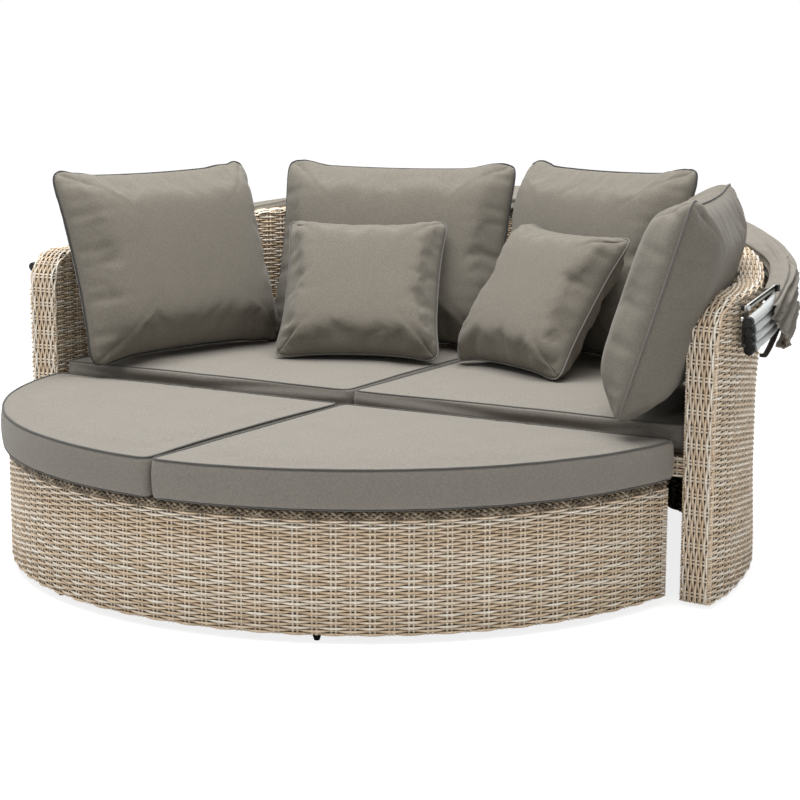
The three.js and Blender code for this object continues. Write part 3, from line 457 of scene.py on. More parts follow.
edge = Shape()
for k in range(EDGE_STRANDS):
    across = (k / (EDGE_STRANDS - 1) - 0.5) * (WALL_OUTER - WALL_INNER - 0.005)
    at = np.linspace(0.0, edge_run[-1], STEPS_PER_PAIR * tie_pairs + 1)
    wave = np.cos(math.pi * (at / TIE_PITCH - 0.5) + math.pi * k)
    swing = STRAND_SWING * np.clip(1.3 * wave, -1, 1)
    path, facing = edge_point(at, np.full(len(at), across), swing)
    lean = np.clip((abs(across) - 0.030) / 0.012, 0, 1) * np.sign(across) * 0.8
    turn = np.interp(at, edge_run, edge_turn)
    radial = np.stack([np.cos(turn), np.sin(turn), 0 * at], -1)
    # The wave term lightens the strand where it lies on top and darkens it where it passes under a
    # tie: painted light and shade.
    tone = random.uniform(0.3, 1.05) + 0.1 * np.sin(at * 17 + k) + 0.08 * wave
    edge.strand(path, facing + radial * lean, 0.0033 + 0.0004 * wave, 0.0018, tone=tone)
for j in range(tie_pairs):
    for side in (-1, 1):
        across = np.linspace(-1, 1, 9) * (WALL_OUTER - WALL_MIDDLE - 0.0015)
        at = np.full(9, (j + 0.5) * TIE_PITCH + side * 0.0042)
        path, facing = edge_point(at, across, np.full(9, 0.0004))
        edge.strand(path, facing, 0.0024, 0.0016, tone=random.uniform(0.75, 1.15))
edge.piece("weave_edge", wicker, "sofa", "wicker", toned=True)


# The shade lining: a dark sheet just inside both faces, the edge and the foot, painted shade for
# the hollow behind the weave.
SHADE_LINING_INSET, SHADE_LINING_END = 0.0085, 0.12
end_turn = WALL_FRONT + SHADE_LINING_INSET / WALL_MIDDLE
end_turns = np.linspace(end_turn, WALL_FRONT + SHADE_LINING_END, 16)
middle_turns = np.linspace(WALL_FRONT + SHADE_LINING_END, math.pi - WALL_FRONT - SHADE_LINING_END, 150)
shade_lining_turns = np.concatenate([end_turns[:-1], middle_turns, math.pi - end_turns[-2::-1]])
shade_lining_top = rim_height(shade_lining_turns) - SHADE_LINING_INSET
shade_lining_inner, shade_lining_outer = WALL_INNER + SHADE_LINING_INSET, WALL_OUTER - SHADE_LINING_INSET
shade_lining_rise = shade_lining_top - RIM_EDGE / 2 - WALL_BASE
shade_lining_levels = [WALL_BASE + shade_lining_rise * share for share in np.linspace(0, 1, 11)]
shade_lining_ring = np.stack(
    [round_point(shade_lining_outer, shade_lining_turns, z) for z in shade_lining_levels]
    + [round_point(shade_lining_outer - RIM_EDGE / 2, shade_lining_turns, shade_lining_top)]
    + [round_point(shade_lining_inner + RIM_EDGE / 2, shade_lining_turns, shade_lining_top)]
    + [round_point(shade_lining_inner, shade_lining_turns, z) for z in shade_lining_levels[::-1]], 1,
)
shade_lining_shape = Shape()
shade_lining_round = shade_lining_ring.shape[1]
shade_lining_shape.add(shade_lining_ring, grid_faces(len(shade_lining_turns), shade_lining_round, close=True))
i = np.arange(len(shade_lining_levels))
cap = np.stack([shade_lining_round - 2 - i, i + 1, i, shade_lining_round - 1 - i], -1)
shade_lining_shape.faces.append(cap)
shade_lining_shape.faces.append(shade_lining_round * (len(shade_lining_turns) - 1) + cap[:, ::-1])
shade_lining_shape.piece("wall_shade_lining", shade_lining, "sofa", "wicker", smooth=False)


# The ottoman's woven base: the same weave round its arc and across its straight back, and the
# dark shade lining behind all of it, painted shade for the hollow inside. The seat's apron is a
# straight stretch of the weave too.
OTTOMAN_R, OTTOMAN_BACK, OTTOMAN_BASE, OTTOMAN_TOP = 0.945, 0.115, 0.020, 0.290
ottoman_start = math.pi + math.asin(OTTOMAN_BACK / OTTOMAN_R)
ottoman_stop = 2 * math.pi - math.asin(OTTOMAN_BACK / OTTOMAN_R)
ottoman_pairs = int(round((ottoman_stop - ottoman_start) * OTTOMAN_R / STAKE_PITCH))
ottoman_turn = (ottoman_stop - ottoman_start) / ottoman_pairs
ottoman_turns = np.linspace(ottoman_start, ottoman_stop, STEPS_PER_PAIR * ottoman_pairs + 1)
ottoman_weave = Shape()
for row in range(int((OTTOMAN_TOP - OTTOMAN_BASE) / STRAND_PITCH) + 1):
    z = OTTOMAN_BASE + 0.003 + row * STRAND_PITCH
    round_weft(ottoman_weave, ottoman_turns, OTTOMAN_R, 1, z, row, ottoman_start, ottoman_turn)
round_stakes(
    ottoman_weave, OTTOMAN_R, 1, ottoman_start, ottoman_turn, ottoman_pairs,
    (ottoman_start, ottoman_stop), OTTOMAN_BASE, lambda turn: OTTOMAN_TOP + 0.006, 6,
)
ottoman_weave.piece(
    "ottoman_weave_front", wicker, "ottoman", "wicker", "ottoman_wicker_front", toned=True,
)


def straight_weave(name, half, y, out, low, high, body, replaced):
    """A straight stretch of the same weave along X, seen from the out side of Y."""
    pairs = int(round(2 * half / STAKE_PITCH))
    pitch = 2 * half / pairs
    x = np.linspace(-half, half, STEPS_PER_PAIR * pairs + 1)
    shape = Shape()
    for row in range(int((high - low) / STRAND_PITCH) + 1):
        z = np.full(len(x), low + 0.003 + row * STRAND_PITCH)
        place = lambda lift: np.stack([x, y + out * lift, z], -1)
        facing = np.broadcast_to([0.0, out, 0.0], (len(x), 3))
        weft(shape, place, facing, (x + half) / pitch, row, x * 21)
    for k in range(pairs):
        for side in (-1, 1):
            at = -half + (k + 0.5) * pitch + side * STAKE_APART
            levels = (low, (low + high) / 2, high)
            path = np.array([[at, y - out * STRAND_DEPTH, z] for z in levels])
            stake(shape, path, [0.0, out, 0.0])
    shape.piece(name, wicker, body, "wicker", replaced, toned=True)


straight_weave(
    "ottoman_weave_back", OTTOMAN_R * math.cos(ottoman_start - math.pi), MIDDLE_Y - OTTOMAN_BACK,
    1.0, OTTOMAN_BASE, OTTOMAN_TOP + 0.003, "ottoman", "ottoman_wicker_back",
)
straight_weave("apron_weave", 0.967, -0.2172, -1.0, 0.3170, 0.3660, "sofa", "front_apron")
# A board behind the apron's weave, in the dark shade lining: painted shade seen through the gaps.
apron_board = Shape()
apron_board.add(
    [[x, y, z] for z in (0.3165, 0.3675) for y in (-0.2085, -0.1800) for x in (-0.966, 0.966)],
    [[0, 2, 3, 1], [4, 5, 7, 6], [0, 1, 5, 4], [2, 6, 7, 3], [0, 4, 6, 2], [1, 3, 7, 5]],
)
apron_board.piece("apron_board", shade_lining, "sofa", "wicker", smooth=False)


def ottoman_loop(inset, spacing=0.02):
    """A closed line round the ottoman's half-moon plan, held in by a margin: its x and y."""
    radius, level = OTTOMAN_R - inset, -OTTOMAN_BACK - inset
    start = math.pi + math.asin(-level / radius)
    arc = np.linspace(start, 3 * math.pi - start, int(radius * math.pi / spacing))
    end = radius * math.cos(start)
    back = np.linspace(-end, end, int(2 * abs(end) / spacing))[1:-1]
    x = np.concatenate([radius * np.cos(arc), back])
    y = np.concatenate([radius * np.sin(arc), np.full(len(back), level)])
    return np.stack([x, MIDDLE_Y + y], -1)


def respaced(loop, count):
    """A closed loop with another number of points."""
    share, steps = np.linspace(0, 1, count, endpoint=False), np.linspace(0, 1, len(loop) + 1)
    loop = np.vstack([loop, loop[:1]])
    return np.stack([np.interp(share, steps, loop[:, i]) for i in range(2)], -1)


outside, inside = ottoman_loop(SHADE_LINING_INSET), ottoman_loop(SHADE_LINING_INSET + 0.013)
count = min(len(outside), len(inside))
shade_lining_rings = [
    np.column_stack([respaced(loop, count), np.full(count, z)])
    for loop, z in (
        (outside, OTTOMAN_BASE), (outside, OTTOMAN_TOP), (inside, OTTOMAN_TOP),
        (inside, OTTOMAN_BASE),
    )
]
ottoman_shade_lining = Shape()
ottoman_shade_lining.add(np.stack(shade_lining_rings + shade_lining_rings[:1]), grid_faces(5, count, close=True))
ottoman_shade_lining.piece("ottoman_shade_lining", shade_lining, "ottoman", "wicker", smooth=False)


# The border of the ottoman's wall: a round braid of ten broad strands, five each way, that pass
# over and under each other on a core. It lies under the cushion's overhang, and its wicker is
# darker: painted shade for the cushion's shadow.
BRAID_STRANDS, BRAID_TURN, BRAID_R, BRAID_CORE_R = 5, 0.092, 0.0094, 0.0068
UP = np.array([0.0, 0.0, 1.0])
# Painted shade: a darker copy of the wicker, for the shadow under the cushion.
shaded_braid_wicker = wicker_material(
    "shaded_braid_wicker", (0.06, 0.042, 0.025), (0.22, 0.165, 0.105), (0.52, 0.44, 0.33),
)
braid_line = ottoman_loop(0.0075, 0.006)
braid_line = np.vstack([braid_line, braid_line[:1]])
braid_path = np.column_stack([braid_line, np.full(len(braid_line), OTTOMAN_TOP + 0.0128)])
braid_run = run_along(braid_path)
braid_turned = 2 * math.pi * round(braid_run[-1] / BRAID_TURN) * braid_run / braid_run[-1]
braid_along = unit(np.roll(braid_path[:-1], -1, 0) - np.roll(braid_path[:-1], 1, 0))
braid_side = np.cross(np.vstack([braid_along, braid_along[:1]]), UP)
braid = Shape()
for way in (1, -1):
    for k in range(BRAID_STRANDS):
        angle = 2 * math.pi * k / BRAID_STRANDS + way * braid_turned
        over = np.clip(1.4 * np.cos(BRAID_STRANDS * braid_turned), -1, 1)
        rise = BRAID_R + 0.0019 * way * over
        facing = braid_side * np.cos(angle)[:, None] + UP * np.sin(angle)[:, None]
        path = braid_path + facing * rise[:, None]
        braid.strand(path, facing, 0.0034, 0.0016, tone=random.uniform(0.0, 1.0))
braid.piece("ottoman_braid", shaded_braid_wicker, "ottoman", "wicker", "ottoman_border", toned=True)
# The braid's core is in the dark shade lining: painted shade between its strands.
core = Shape()
core_ring = rings_round(braid_path[:-1], braid_side[:-1], UP, BRAID_CORE_R, BRAID_CORE_R, 10)
core_ring = np.concatenate([core_ring, core_ring[:1]])
core.add(core_ring, grid_faces(len(core_ring), 10, close=True))
core.piece("ottoman_braid_core", shade_lining, "ottoman", "wicker")


# Frames and feet: dark brown powder-coated steel tube under the seat, in the wall and in the
# ottoman, with black plastic glides, and decks of plain resin board.
def coated_material(name, low, high, rough, shine=0.5):
    """A coated or moulded surface: one colour with a slight mottle and a fine orange-peel."""
    material, write, principled = shader(name)
    place = write("TexCoord").outputs["Object"]
    noise = write("TexNoise", Vector=place, Scale=260.0, Detail=3.0).outputs["Fac"]
    bump = write("Bump", Height=noise, Strength=0.12, Distance=0.0003)
    write(
        principled, Base_Color=spread(write, noise, low, high, span=(0.35, 0.65)),
        Normal=bump.outputs[0], Roughness=rough, Metallic=0.0, Specular_IOR_Level=shine,
    )
    return material


def paint(material, *nodes):
    """Gives CAD pieces a material."""
    for node in nodes:
        piece = bpy.data.objects[node]
        piece.data.materials.clear()
        piece.data.materials.append(material)


brown_steel = coated_material("brown_steel", (0.030, 0.022, 0.016), (0.045, 0.034, 0.026), 0.5)
black_plastic = coated_material("black_plastic", (0.007,) * 3, (0.014,) * 3, 0.30, shine=0.26)
resin_board = coated_material("resin_board", (0.42, 0.34, 0.24), (0.52, 0.43, 0.32), 0.6)
paint(
    brown_steel, "seat_frame", "ottoman_frame", "wall_frame", "seat_leg_right", "seat_leg_left",
)
paint(
    black_plastic, "seat_foot_right", "seat_foot_left",
    *(f"{part}_foot_{k}" for part in ("ottoman", "wall") for k in (1, 2, 3, 4)),
)
paint(resin_board, "seat_deck", "ottoman_deck")


# The cushions' cloth: a heathered grey-taupe outdoor weave, and cords for the seams.
def cloth_material(name, base, fleck, scale=1.0):
    """Woven cloth: flecks of lighter and darker yarn in two directions, a slow unevenness of
    the dye, a fine raised weave and a faint fuzz."""
    material, write, principled = shader(name)
    place = write("TexCoord").outputs["Object"]
    one, two = (
        write(
            "TexNoise", Vector=write("Mapping", Vector=place, Scale=stretch).outputs[0],
            Scale=330.0 * scale, Detail=4.0,
        ).outputs["Fac"]
        for stretch in ((1.0, 1.0, 4.0), (4.0, 4.0, 1.0))
    )
    slow = write("TexNoise", Vector=place, Scale=9.0, Detail=3.0)
    yarn = write("Math", i0=one, i1=two).outputs[0]
    level = write("MapRange", Value=yarn, From_Min=0.72, From_Max=1.28)
    dye = write("MapRange", Value=slow.outputs["Fac"], To_Min=-0.12, To_Max=0.12)
    both = write("Math", i0=level.outputs[0], i1=dye.outputs[0])
    low, high = ([b * shift for b in base] for shift in (1 - fleck, 1 + fleck))
    bump = write("Bump", Height=yarn, Strength=0.35, Distance=0.0008)
    write(
        principled, Base_Color=spread(write, both.outputs[0], low, high), Normal=bump.outputs[0],
        Roughness=0.92, Sheen_Weight=0.12, Sheen_Roughness=0.5, Specular_IOR_Level=0.2,
    )
    return material


back_cloth = cloth_material("back_cloth", (0.186, 0.169, 0.140), 0.26, 0.6)
seat_cloth = cloth_material("seat_cloth", (0.228, 0.210, 0.182), 0.20, 0.6)
dark_cord = cloth_material("dark_cord", (0.055, 0.055, 0.055), 0.15)
pale_cord = cloth_material("pale_cord", (0.19, 0.18, 0.165), 0.12)

WEIGHT_LEVELS = 8


def read_points(mesh):
    """A mesh's coordinates."""
    points = np.empty(3 * len(mesh.vertices), np.float32)
    mesh.vertices.foreach_get("co", points)
    return points.reshape(-1, 3).astype(float)


def cloth_result(piece, pressure, cap, slack, pull, seam_weight, steps=20):
    """Swells a padded piece: the cover has a little more cloth than its shape needs, less along
    the seams, and the filling presses it out. No point moves further than the cap."""
    mesh = piece.data
    start = read_points(mesh)
    group = piece.vertex_groups.new(name="seam")
    levels = np.round(np.clip(seam_weight, 0, 1) * WEIGHT_LEVELS).astype(int)
    for level in range(WEIGHT_LEVELS + 1):
        group.add(np.flatnonzero(levels == level).tolist(), level / WEIGHT_LEVELS, "REPLACE")
    cloth = piece.modifiers.new("cloth", "CLOTH")
    settings = cloth.settings
    settings.quality = 5
    settings.mass = 0.15
    settings.air_damping = 1.0
    settings.tension_stiffness = settings.compression_stiffness = 12.0
    settings.shear_stiffness = 4.0
    settings.bending_stiffness = 0.15
    settings.use_pressure = True
    settings.uniform_pressure_force = pressure
    settings.effector_weights.gravity = 0.0
    settings.vertex_group_shrink = "seam"
    settings.shrink_min = -slack
    settings.shrink_max = pull
    cloth.collision_settings.use_self_collision = False
    cloth.point_cache.frame_start, cloth.point_cache.frame_end = 1, steps
    for step in range(1, steps + 1):
        scene.frame_set(step)
    after = read_points(piece.evaluated_get(bpy.context.evaluated_depsgraph_get()).data)
    piece.modifiers.remove(cloth)
    piece.vertex_groups.clear()
    scene.frame_set(1)
    move = after - start
    move -= move.mean(0)
    far = np.linalg.norm(move, axis=1, keepdims=True)
    move *= cap * np.tanh(far / cap) / np.maximum(far, 1e-9)
    return start + move


def finish_cover(made, points):
    """Puts a cover's final points into its mesh, with one level of smooth subdivision."""
    made.data.vertices.foreach_set("co", np.asarray(points, np.float32).ravel())
    made.data.update()
    smooth = made.modifiers.new("smooth", "SUBSURF")
    smooth.levels = smooth.render_levels = 1


def softened(loop):
    """A closed line, with each point drawn halfway to the middle of its neighbours."""
    return (np.roll(loop, 1, 0) + 2 * loop + np.roll(loop, -1, 0)) / 4


def cord(name, path, radius, material, body, slot, sides=8):
    """A closed round cord along a loop of points."""
    along = unit(np.roll(path, -1, 0) - np.roll(path, 1, 0))
    out = unit(path - path.mean(0))
    out = unit(out - along * np.sum(out * along, -1, keepdims=True))
    ring = rings_round(path, out, np.cross(along, out), radius, radius, sides)
    ring = np.concatenate([ring, ring[:1]])
    shape = Shape()
    shape.add(ring, grid_faces(len(ring), sides, close=True))
    shape.piece(name, material, body, slot)


def border_of(number):
    """The point numbers round the edge of a grid of them."""
    return np.concatenate([number[0, :-1], number[:-1, -1], number[-1, :0:-1], number[:0:-1, 0]])


# Loose cushions: two crowned panels sewn edge to edge with a cord in the seam, filled with
# fibre. They stand on the seat and lean on the wall or on each other.
SEAM_PULL = 0.045
CUSHION_REST = 0.4505        # the height of the seat under them
CUSHION_CELL = 0.0078
# Width, height, and how far the front and the rear panel stand off the seam
back_size = (0.693, 0.547, 0.100, 0.070)
side_size = (0.693, 0.547, 0.100, 0.096)
pillow_size = (0.472, 0.455, 0.078, 0.066)
# Name, size, x, y, and three angles in degrees: the way it faces, its lean and its roll
cushion_places = [
    ("back_cushion_left", back_size, -0.8, 0.195, 76.4, 17.6, 0),
    ("back_cushion_centre", back_size, -0.334, 0.706, 14.6, 19.4, 0),
    ("back_cushion_right", back_size, 0.308, 0.771, -22.9, 15.9, 1),
    ("side_cushion_right", side_size, 0.864, 0.125, -75.3, 17.2, 0.8),
    ("throw_pillow_left", pillow_size, -0.274, 0.434, 23.6, 35, 0),
    ("throw_pillow_right", pillow_size, 0.293, 0.486, -24.7, 34.2, 0),
]


def panel(width, height, depth, columns, rows):
    """One crowned face over a grid: the height is 0.86 depth ((1-u^4)(1-v^4))^0.45, and the
    edges are drawn in between the corners."""
    u = np.linspace(-1, 1, columns)
    v = np.linspace(-1, 1, rows)
    u, v = u * (1.32 - 0.32 * u * u), v * (1.32 - 0.32 * v * v)
    u, v = np.meshgrid(u, v)
    full = np.clip((1 - u**4) * (1 - v**4), 0, 1) ** 0.45
    most = np.maximum(abs(u), abs(v))
    rounding = most / np.maximum((abs(u) ** 14 + abs(v) ** 14) ** (1 / 14), 1e-9)
    u, v = u * np.where(most > 0, rounding, 1), v * np.where(most > 0, rounding, 1)
    return np.stack([
        width / 2 * u * (1 - SEAM_PULL * (1 - v * v)),
        height / 2 * v * (1 - SEAM_PULL * (1 - u * u)),
        depth * 0.86 * full,
    ], -1), np.stack([u, v], -1)


def loose_cushion(index, name, size, x, y, facing, lean, roll):
    """Builds, swells and places one cushion: a grid for each face, joined along the seam."""
    width, height, front, back = size
    swelled = 1.0 if name.startswith("throw") else 1.042
    columns, rows = (int(round(length / CUSHION_CELL)) for length in (width, height))
    face, face_uv = panel(width, height, front, columns, rows)
    rear, _ = panel(width, height, -back, columns, rows)
    number = np.arange(rows * columns).reshape(rows, columns)
    behind = number.copy()
    behind[1:-1, 1:-1] = np.arange((rows - 2) * (columns - 2)).reshape(rows - 2, columns - 2)
    behind[1:-1, 1:-1] += rows * columns
    points = np.concatenate([face.reshape(-1, 3), rear[1:-1, 1:-1].reshape(-1, 3)])
    uv = np.concatenate([face_uv.reshape(-1, 2), face_uv[1:-1, 1:-1].reshape(-1, 2)])
    shape = Shape()
    shape.add(points, np.concatenate([quads_of(number), quads_of(behind)[:, ::-1]]))
    made = shape.piece(name + "_cover", back_cloth, None, None)
    near = np.maximum(abs(uv[:, 0]), abs(uv[:, 1]))
    pinch = 0.5 + 0.5 * np.sin(uv[:, 0] * 62 + index) * np.cos(uv[:, 1] * 55 + 2 * index)
    weight = np.clip((near - 0.90) / 0.10, 0, 1) * (0.35 + 0.65 * pinch)
    after = cloth_result(made, 4.0, 0.024, 0.045, 0.08, weight)
    # Short puckers run in from the seam, on both faces
    for axis, reach, other in ((0, height / 2, width / 2), (1, width / 2, height / 2)):
        along = uv[:, 1 - axis] * reach + np.where(after[:, 2] > 0, 0.0, 0.31)
        along = along + 0.7 * np.sign(uv[:, axis])
        dent = np.sin(97 * along + index) * np.sin(41 * along + 1.7 * index + 2 * axis)
        fade = np.exp(-(1 - abs(uv[:, axis])) * other / 0.034)
        after[:, 2] *= 1 - 0.24 * np.clip(dent, 0, 1) * fade
    after[:, :2] *= swelled * np.ptp(points[:, :2], axis=0) / np.ptp(after[:, :2], axis=0)
    f, l, r = (math.radians(a) for a in (facing, lean, roll))
    across = np.array([math.cos(f), math.sin(f), 0.0])
    out = np.array([math.sin(f) * math.cos(l), -math.cos(f) * math.cos(l), math.sin(l)])
    up = np.cross(out, across)
    basis = np.stack([
        across * math.cos(r) + up * math.sin(r), up * math.cos(r) - across * math.sin(r), out,
    ])
    start_low = ((points * [swelled, swelled, 1.0]) @ basis)[:, 2].min()
    place = [0.975 * x, MIDDLE_Y + 0.975 * y, CUSHION_REST - start_low]
    world = after @ basis + np.array(place)
    world[:, 2] = np.maximum(world[:, 2], CUSHION_REST + 0.001)
    finish_cover(made, world)
    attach(made, "sofa")
    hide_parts(name)
    line = softened(world[border_of(number)])
    line = line + unit(line - line.mean(0)) * 0.0015
    line[:, 2] = np.maximum(line[:, 2], CUSHION_REST + 0.0036)
    colour = pale_cord if name.startswith(("throw", "side")) else dark_cord
    cord(name + "_seam", line, 0.0024, colour, "sofa", "back_fabric")


for index, place in enumerate(cushion_places):
    loose_cushion(index, *place)


# The boxed cushions of the seat and the ottoman: foam slabs cut to a quarter of the circle, in a
# cover with a side band that is sewn to the top and the bottom panel over a cord.
from mathutils import Vector
from mathutils.geometry import delaunay_2d_cdt

# How far the corners are rounded, the split between the halves, how far the edges are drawn in
BOX_CORNER, BOX_SPLIT, BOX_PULL = 0.024, 0.004, 0.004
OUTLINE_STEP = 0.0115
# The seam cord is much darker than the cover: painted shade for the groove along the piping.
shaded_seam_cord = cloth_material("shaded_seam_cord", (0.095, 0.092, 0.085), 0.12)


def quarter_plan(radius, chord):
    """The outline of a quarter-circle cushion, with evenly spaced points: straight-ish edges
    that are drawn in a little, rounded corners, and the arc. Its middle line is x = 0."""
    corner, split, pull = BOX_CORNER, BOX_SPLIT, BOX_PULL
    rim_x, top_y = math.sqrt(radius**2 - chord**2), math.sqrt(radius**2 - split**2)
    turn = corner / radius
    start = math.asin(chord / radius) + turn
    stop = math.pi / 2 - math.asin(split / radius) - turn
    t = np.linspace(0, 1, 60)[:, None]

    def curve(a, b, c):
        a, b, c = (np.array(p) for p in (a, b, c))
        return (1 - t) ** 2 * a + 2 * t * (1 - t) * b + t * t * c

    arc = np.linspace(start, stop, 200)[:, None]
    low = (radius * math.cos(start), radius * math.sin(start))
    high = (radius * math.cos(stop), radius * math.sin(stop))
    line = np.concatenate([
        curve((split, chord + corner), (split, chord), (split + corner, chord)),
        curve(
            (split + corner, chord), ((split + rim_x) / 2, chord + 2 * pull),
            (rim_x - corner, chord),
        ),
        curve((rim_x - corner, chord), (rim_x, chord), low),
        np.hstack([radius * np.cos(arc), radius * np.sin(arc)]),
        curve(high, (split, top_y), (split, top_y - corner)),
        curve(
            (split, top_y - corner), (split + 2 * pull, (chord + top_y) / 2),
            (split, chord + corner),
        ),
    ])
    run = np.concatenate([[0], np.cumsum(np.hypot(*np.diff(line, axis=0).T))])
    at = np.linspace(0, run[-1], int(run[-1] / OUTLINE_STEP), endpoint=False)
    return np.stack([np.interp(at, run, line[:, i]) for i in range(2)], -1)


def filled_plan(outline, spacing):
    """Fills a closed outline with triangles over an even grid of points. The outline comes first
    in the points. The third result is each point's distance from the outline."""
    low, high = outline.min(0), outline.max(0)
    x, y = np.meshgrid(
        np.arange(low[0], high[0], spacing), np.arange(low[1], high[1], 0.866 * spacing),
    )
    x[1::2] += spacing / 2
    spots = np.stack([x.ravel(), y.ravel()], -1)
    near = np.linalg.norm(spots[:, None] - outline[None], axis=2).min(1)
    a, b = outline, np.roll(outline, -1, 0)
    spans = (a[None, :, 1] > spots[:, 1:]) != (b[None, :, 1] > spots[:, 1:])
    rise = np.where(abs(b[:, 1] - a[:, 1]) < 1e-12, 1e-12, b[:, 1] - a[:, 1])
    cross = a[None, :, 0] + (spots[:, 1:] - a[None, :, 1]) * ((b[:, 0] - a[:, 0]) / rise)[None]
    inside = (spans & (spots[:, :1] < cross)).sum(1) % 2 == 1
    kept = inside & (near > 0.6 * spacing)
    points = np.concatenate([outline, spots[kept]])
    border = [list(range(len(outline)))]
    found = delaunay_2d_cdt([Vector(p) for p in points], [], border, 1, 1e-6)
    source = np.array([ids[0] for ids in found[3]])
    faces = source[np.array([list(f) for f in found[2]])]
    one, two = (points[faces[:, i]] - points[faces[:, 0]] for i in (1, 2))
    left_turn = one[:, 0] * two[:, 1] - one[:, 1] * two[:, 0] > 0
    faces = np.where(left_turn[:, None], faces, faces[:, ::-1])
    return points, faces, np.concatenate([np.zeros(len(outline)), near[kept]])


def boxed_cushion(
    name, radius, chord, flip, base, height, crown, body, limit, slack, pull, replaced, crease=0.0,
):
    """Builds, swells and places one boxed cushion. Its side band bulges a little, and its top
    has a low crown: crown times the root of the share of the way in from the seams. A crease
    puts two soft folds along the front of its band."""
    outline = quarter_plan(radius, chord)
    n, rows = len(outline), 9
    along = np.roll(outline, -1, 0) - np.roll(outline, 1, 0)
    normal = unit(np.stack([along[:, 1], -along[:, 0]], -1))
    level = (np.arange(1, rows) / rows)[:, None, None]
    bulge = 0.005 * (1 - (2 * level - 1) ** 2)
    seam_line = outline - normal * 0.002
    top, top_faces, away = filled_plan(seam_line, 0.0135)
    low, low_faces, low_away = filled_plan(seam_line, 0.045)
    band = np.concatenate([
        outline[None] + normal[None] * bulge,
        np.broadcast_to(base + height * level, (rows - 1, n, 1)),
    ], -1).reshape(-1, 3)
    dome = crown * np.sqrt(np.clip(away / 0.3, 0, 1))
    points = np.concatenate([
        np.column_stack([low, np.full(len(low), base)]), band,
        np.column_stack([top, base + height + dome]),
    ])
    band_at, top_at = len(low), len(low) + len(band)
    ring_start = [0] + [band_at + k * n for k in range(rows - 1)] + [top_at]
    ring = [np.arange(n) + at for at in ring_start]
    quads = np.concatenate([
        np.stack([one, np.roll(one, -1), np.roll(two, -1), two], -1)
        for one, two in zip(ring, ring[1:])
    ])
    points[:, :2] *= flip
    way = -1 if flip[0] * flip[1] < 0 else 1
    shape = Shape()
    shape.add(points, quads[:, ::way])
    shape.faces.append(low_faces[:, ::-way])
    shape.faces.append((top_faces + top_at)[:, ::way])
    made = shape.piece(name + "_cover", seat_cloth, None, None)
    run = np.arange(n) * OUTLINE_STEP
    pinch = 0.5 + 0.5 * np.sin(run * 130) * np.cos(run * 61)
    share = np.clip(1 - np.concatenate([low_away, np.full(len(band), 1.0), away]) / 0.02, 0, 1)
    nearest = np.zeros(len(points))
    nearest[:n] = nearest[top_at:top_at + n] = 0.4 + 0.6 * pinch
    nearest[ring[1]] = nearest[ring[rows - 1]] = 0.35 * pinch
    after = cloth_result(made, 2.2, limit, slack, pull, np.maximum(nearest, 0.5 * share))
    # The top keeps its height: only its dents stay
    change = after[top_at:, 2] - points[top_at:, 2]
    after[top_at:, 2] = points[top_at:, 2] + (change - np.percentile(change, 90))
    if crease:
        band_x, share = abs(points[band_at:top_at, 0]), (points[band_at:top_at, 2] - base) / height
        front = np.tile(np.clip(-normal[:, 1], 0, 1), rows - 1)
        lower = 0.32 + 0.15 * np.sin(9.1 * band_x + 2.4)
        upper = 0.64 + 0.20 * np.sin(6.3 * band_x + 1.0)
        folds = sum(np.exp(-(((share - at) / 0.13) ** 2)) for at in (lower, upper))
        after[band_at:top_at, 1] += crease * front * (folds - 0.5) * np.sin(math.pi * share)
    after[:, 2] = np.maximum(after[:, 2], base)
    after[:, 0] = flip[0] * np.maximum(flip[0] * after[:, 0], 0.0016)
    after[:, 1] += MIDDLE_Y
    finish_cover(made, after)
    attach(made, body)
    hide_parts(replaced)
    for ring_name, at, lift in (("top", ring[rows], 0.0), ("base", ring[0], 0.0034)):
        line = softened(after[at])
        line[:, 2] += lift
        cord(name + "_cord_" + ring_name, line, 0.0028, shaded_seam_cord, body, "seat_fabric", sides=6)


for side, sign in (("right", 1), ("left", -1)):
    boxed_cushion(
        "ottoman_" + side, 0.964, 0.115, (sign, -1), 0.3157, 0.1035, 0.006, "ottoman", 0.005,
        0.012, 0.02, "ottoman_cushion_" + side,
    )
    boxed_cushion(
        "seat_" + side, 0.966, -0.078, (sign, 1), 0.3771, 0.0725, 0.0, "sofa", 0.007,
        0.03, 0.05, "seat_cushion_" + side, crease=0.006,
    )


# The folded canopy's bows: four half-round aluminium tubes in parallel planes that rise towards
# the back. Each turns on its own pin at the arms, the front bow on top.
TILT = math.radians(9.5)
PLANE_UP = np.array([0.0, -math.sin(TILT), math.cos(TILT)])
PLANE_BACK = np.array([0.0, math.cos(TILT), math.sin(TILT)])
TOP_PIVOT = np.array([1.100, -0.15464, 0.70030])
BOW_PITCH, BOW_SETBACK, BOW_INSET, BOW_RUN, TUBE_R = 0.028, 0.0143, 0.006, 0.0173, 0.012
SIDES = (("right", 1), ("left", -1))


def stack_point(angle, out, above):
    """Points beside the stack of bows: at an angle round it, out from the line of the bows and
    above the front bow's plane. The line steps in and back with each bow."""
    angle, out, above = np.broadcast_arrays(angle, out, above)
    bow = np.clip(-above / BOW_PITCH, -0.3, 3)
    radius = TOP_PIVOT[0] + out - BOW_INSET * bow
    y = TOP_PIVOT[1] + BOW_RUN * math.cos(TILT) + radius * np.sin(angle)
    z = TOP_PIVOT[2] + (y - TOP_PIVOT[1]) * math.tan(TILT)
    flat = np.stack([radius * np.cos(angle), y, z], -1)
    return flat + PLANE_BACK * (BOW_SETBACK * bow)[..., None] + PLANE_UP * above[..., None]


def pin_point(bow, sign):
    """The middle of a bow's pin, on the right arm (1) or the left one (-1)."""
    return (stack_point(0.0, 0.0, -BOW_PITCH * bow) - PLANE_BACK * BOW_RUN) * [sign, 1, 1]


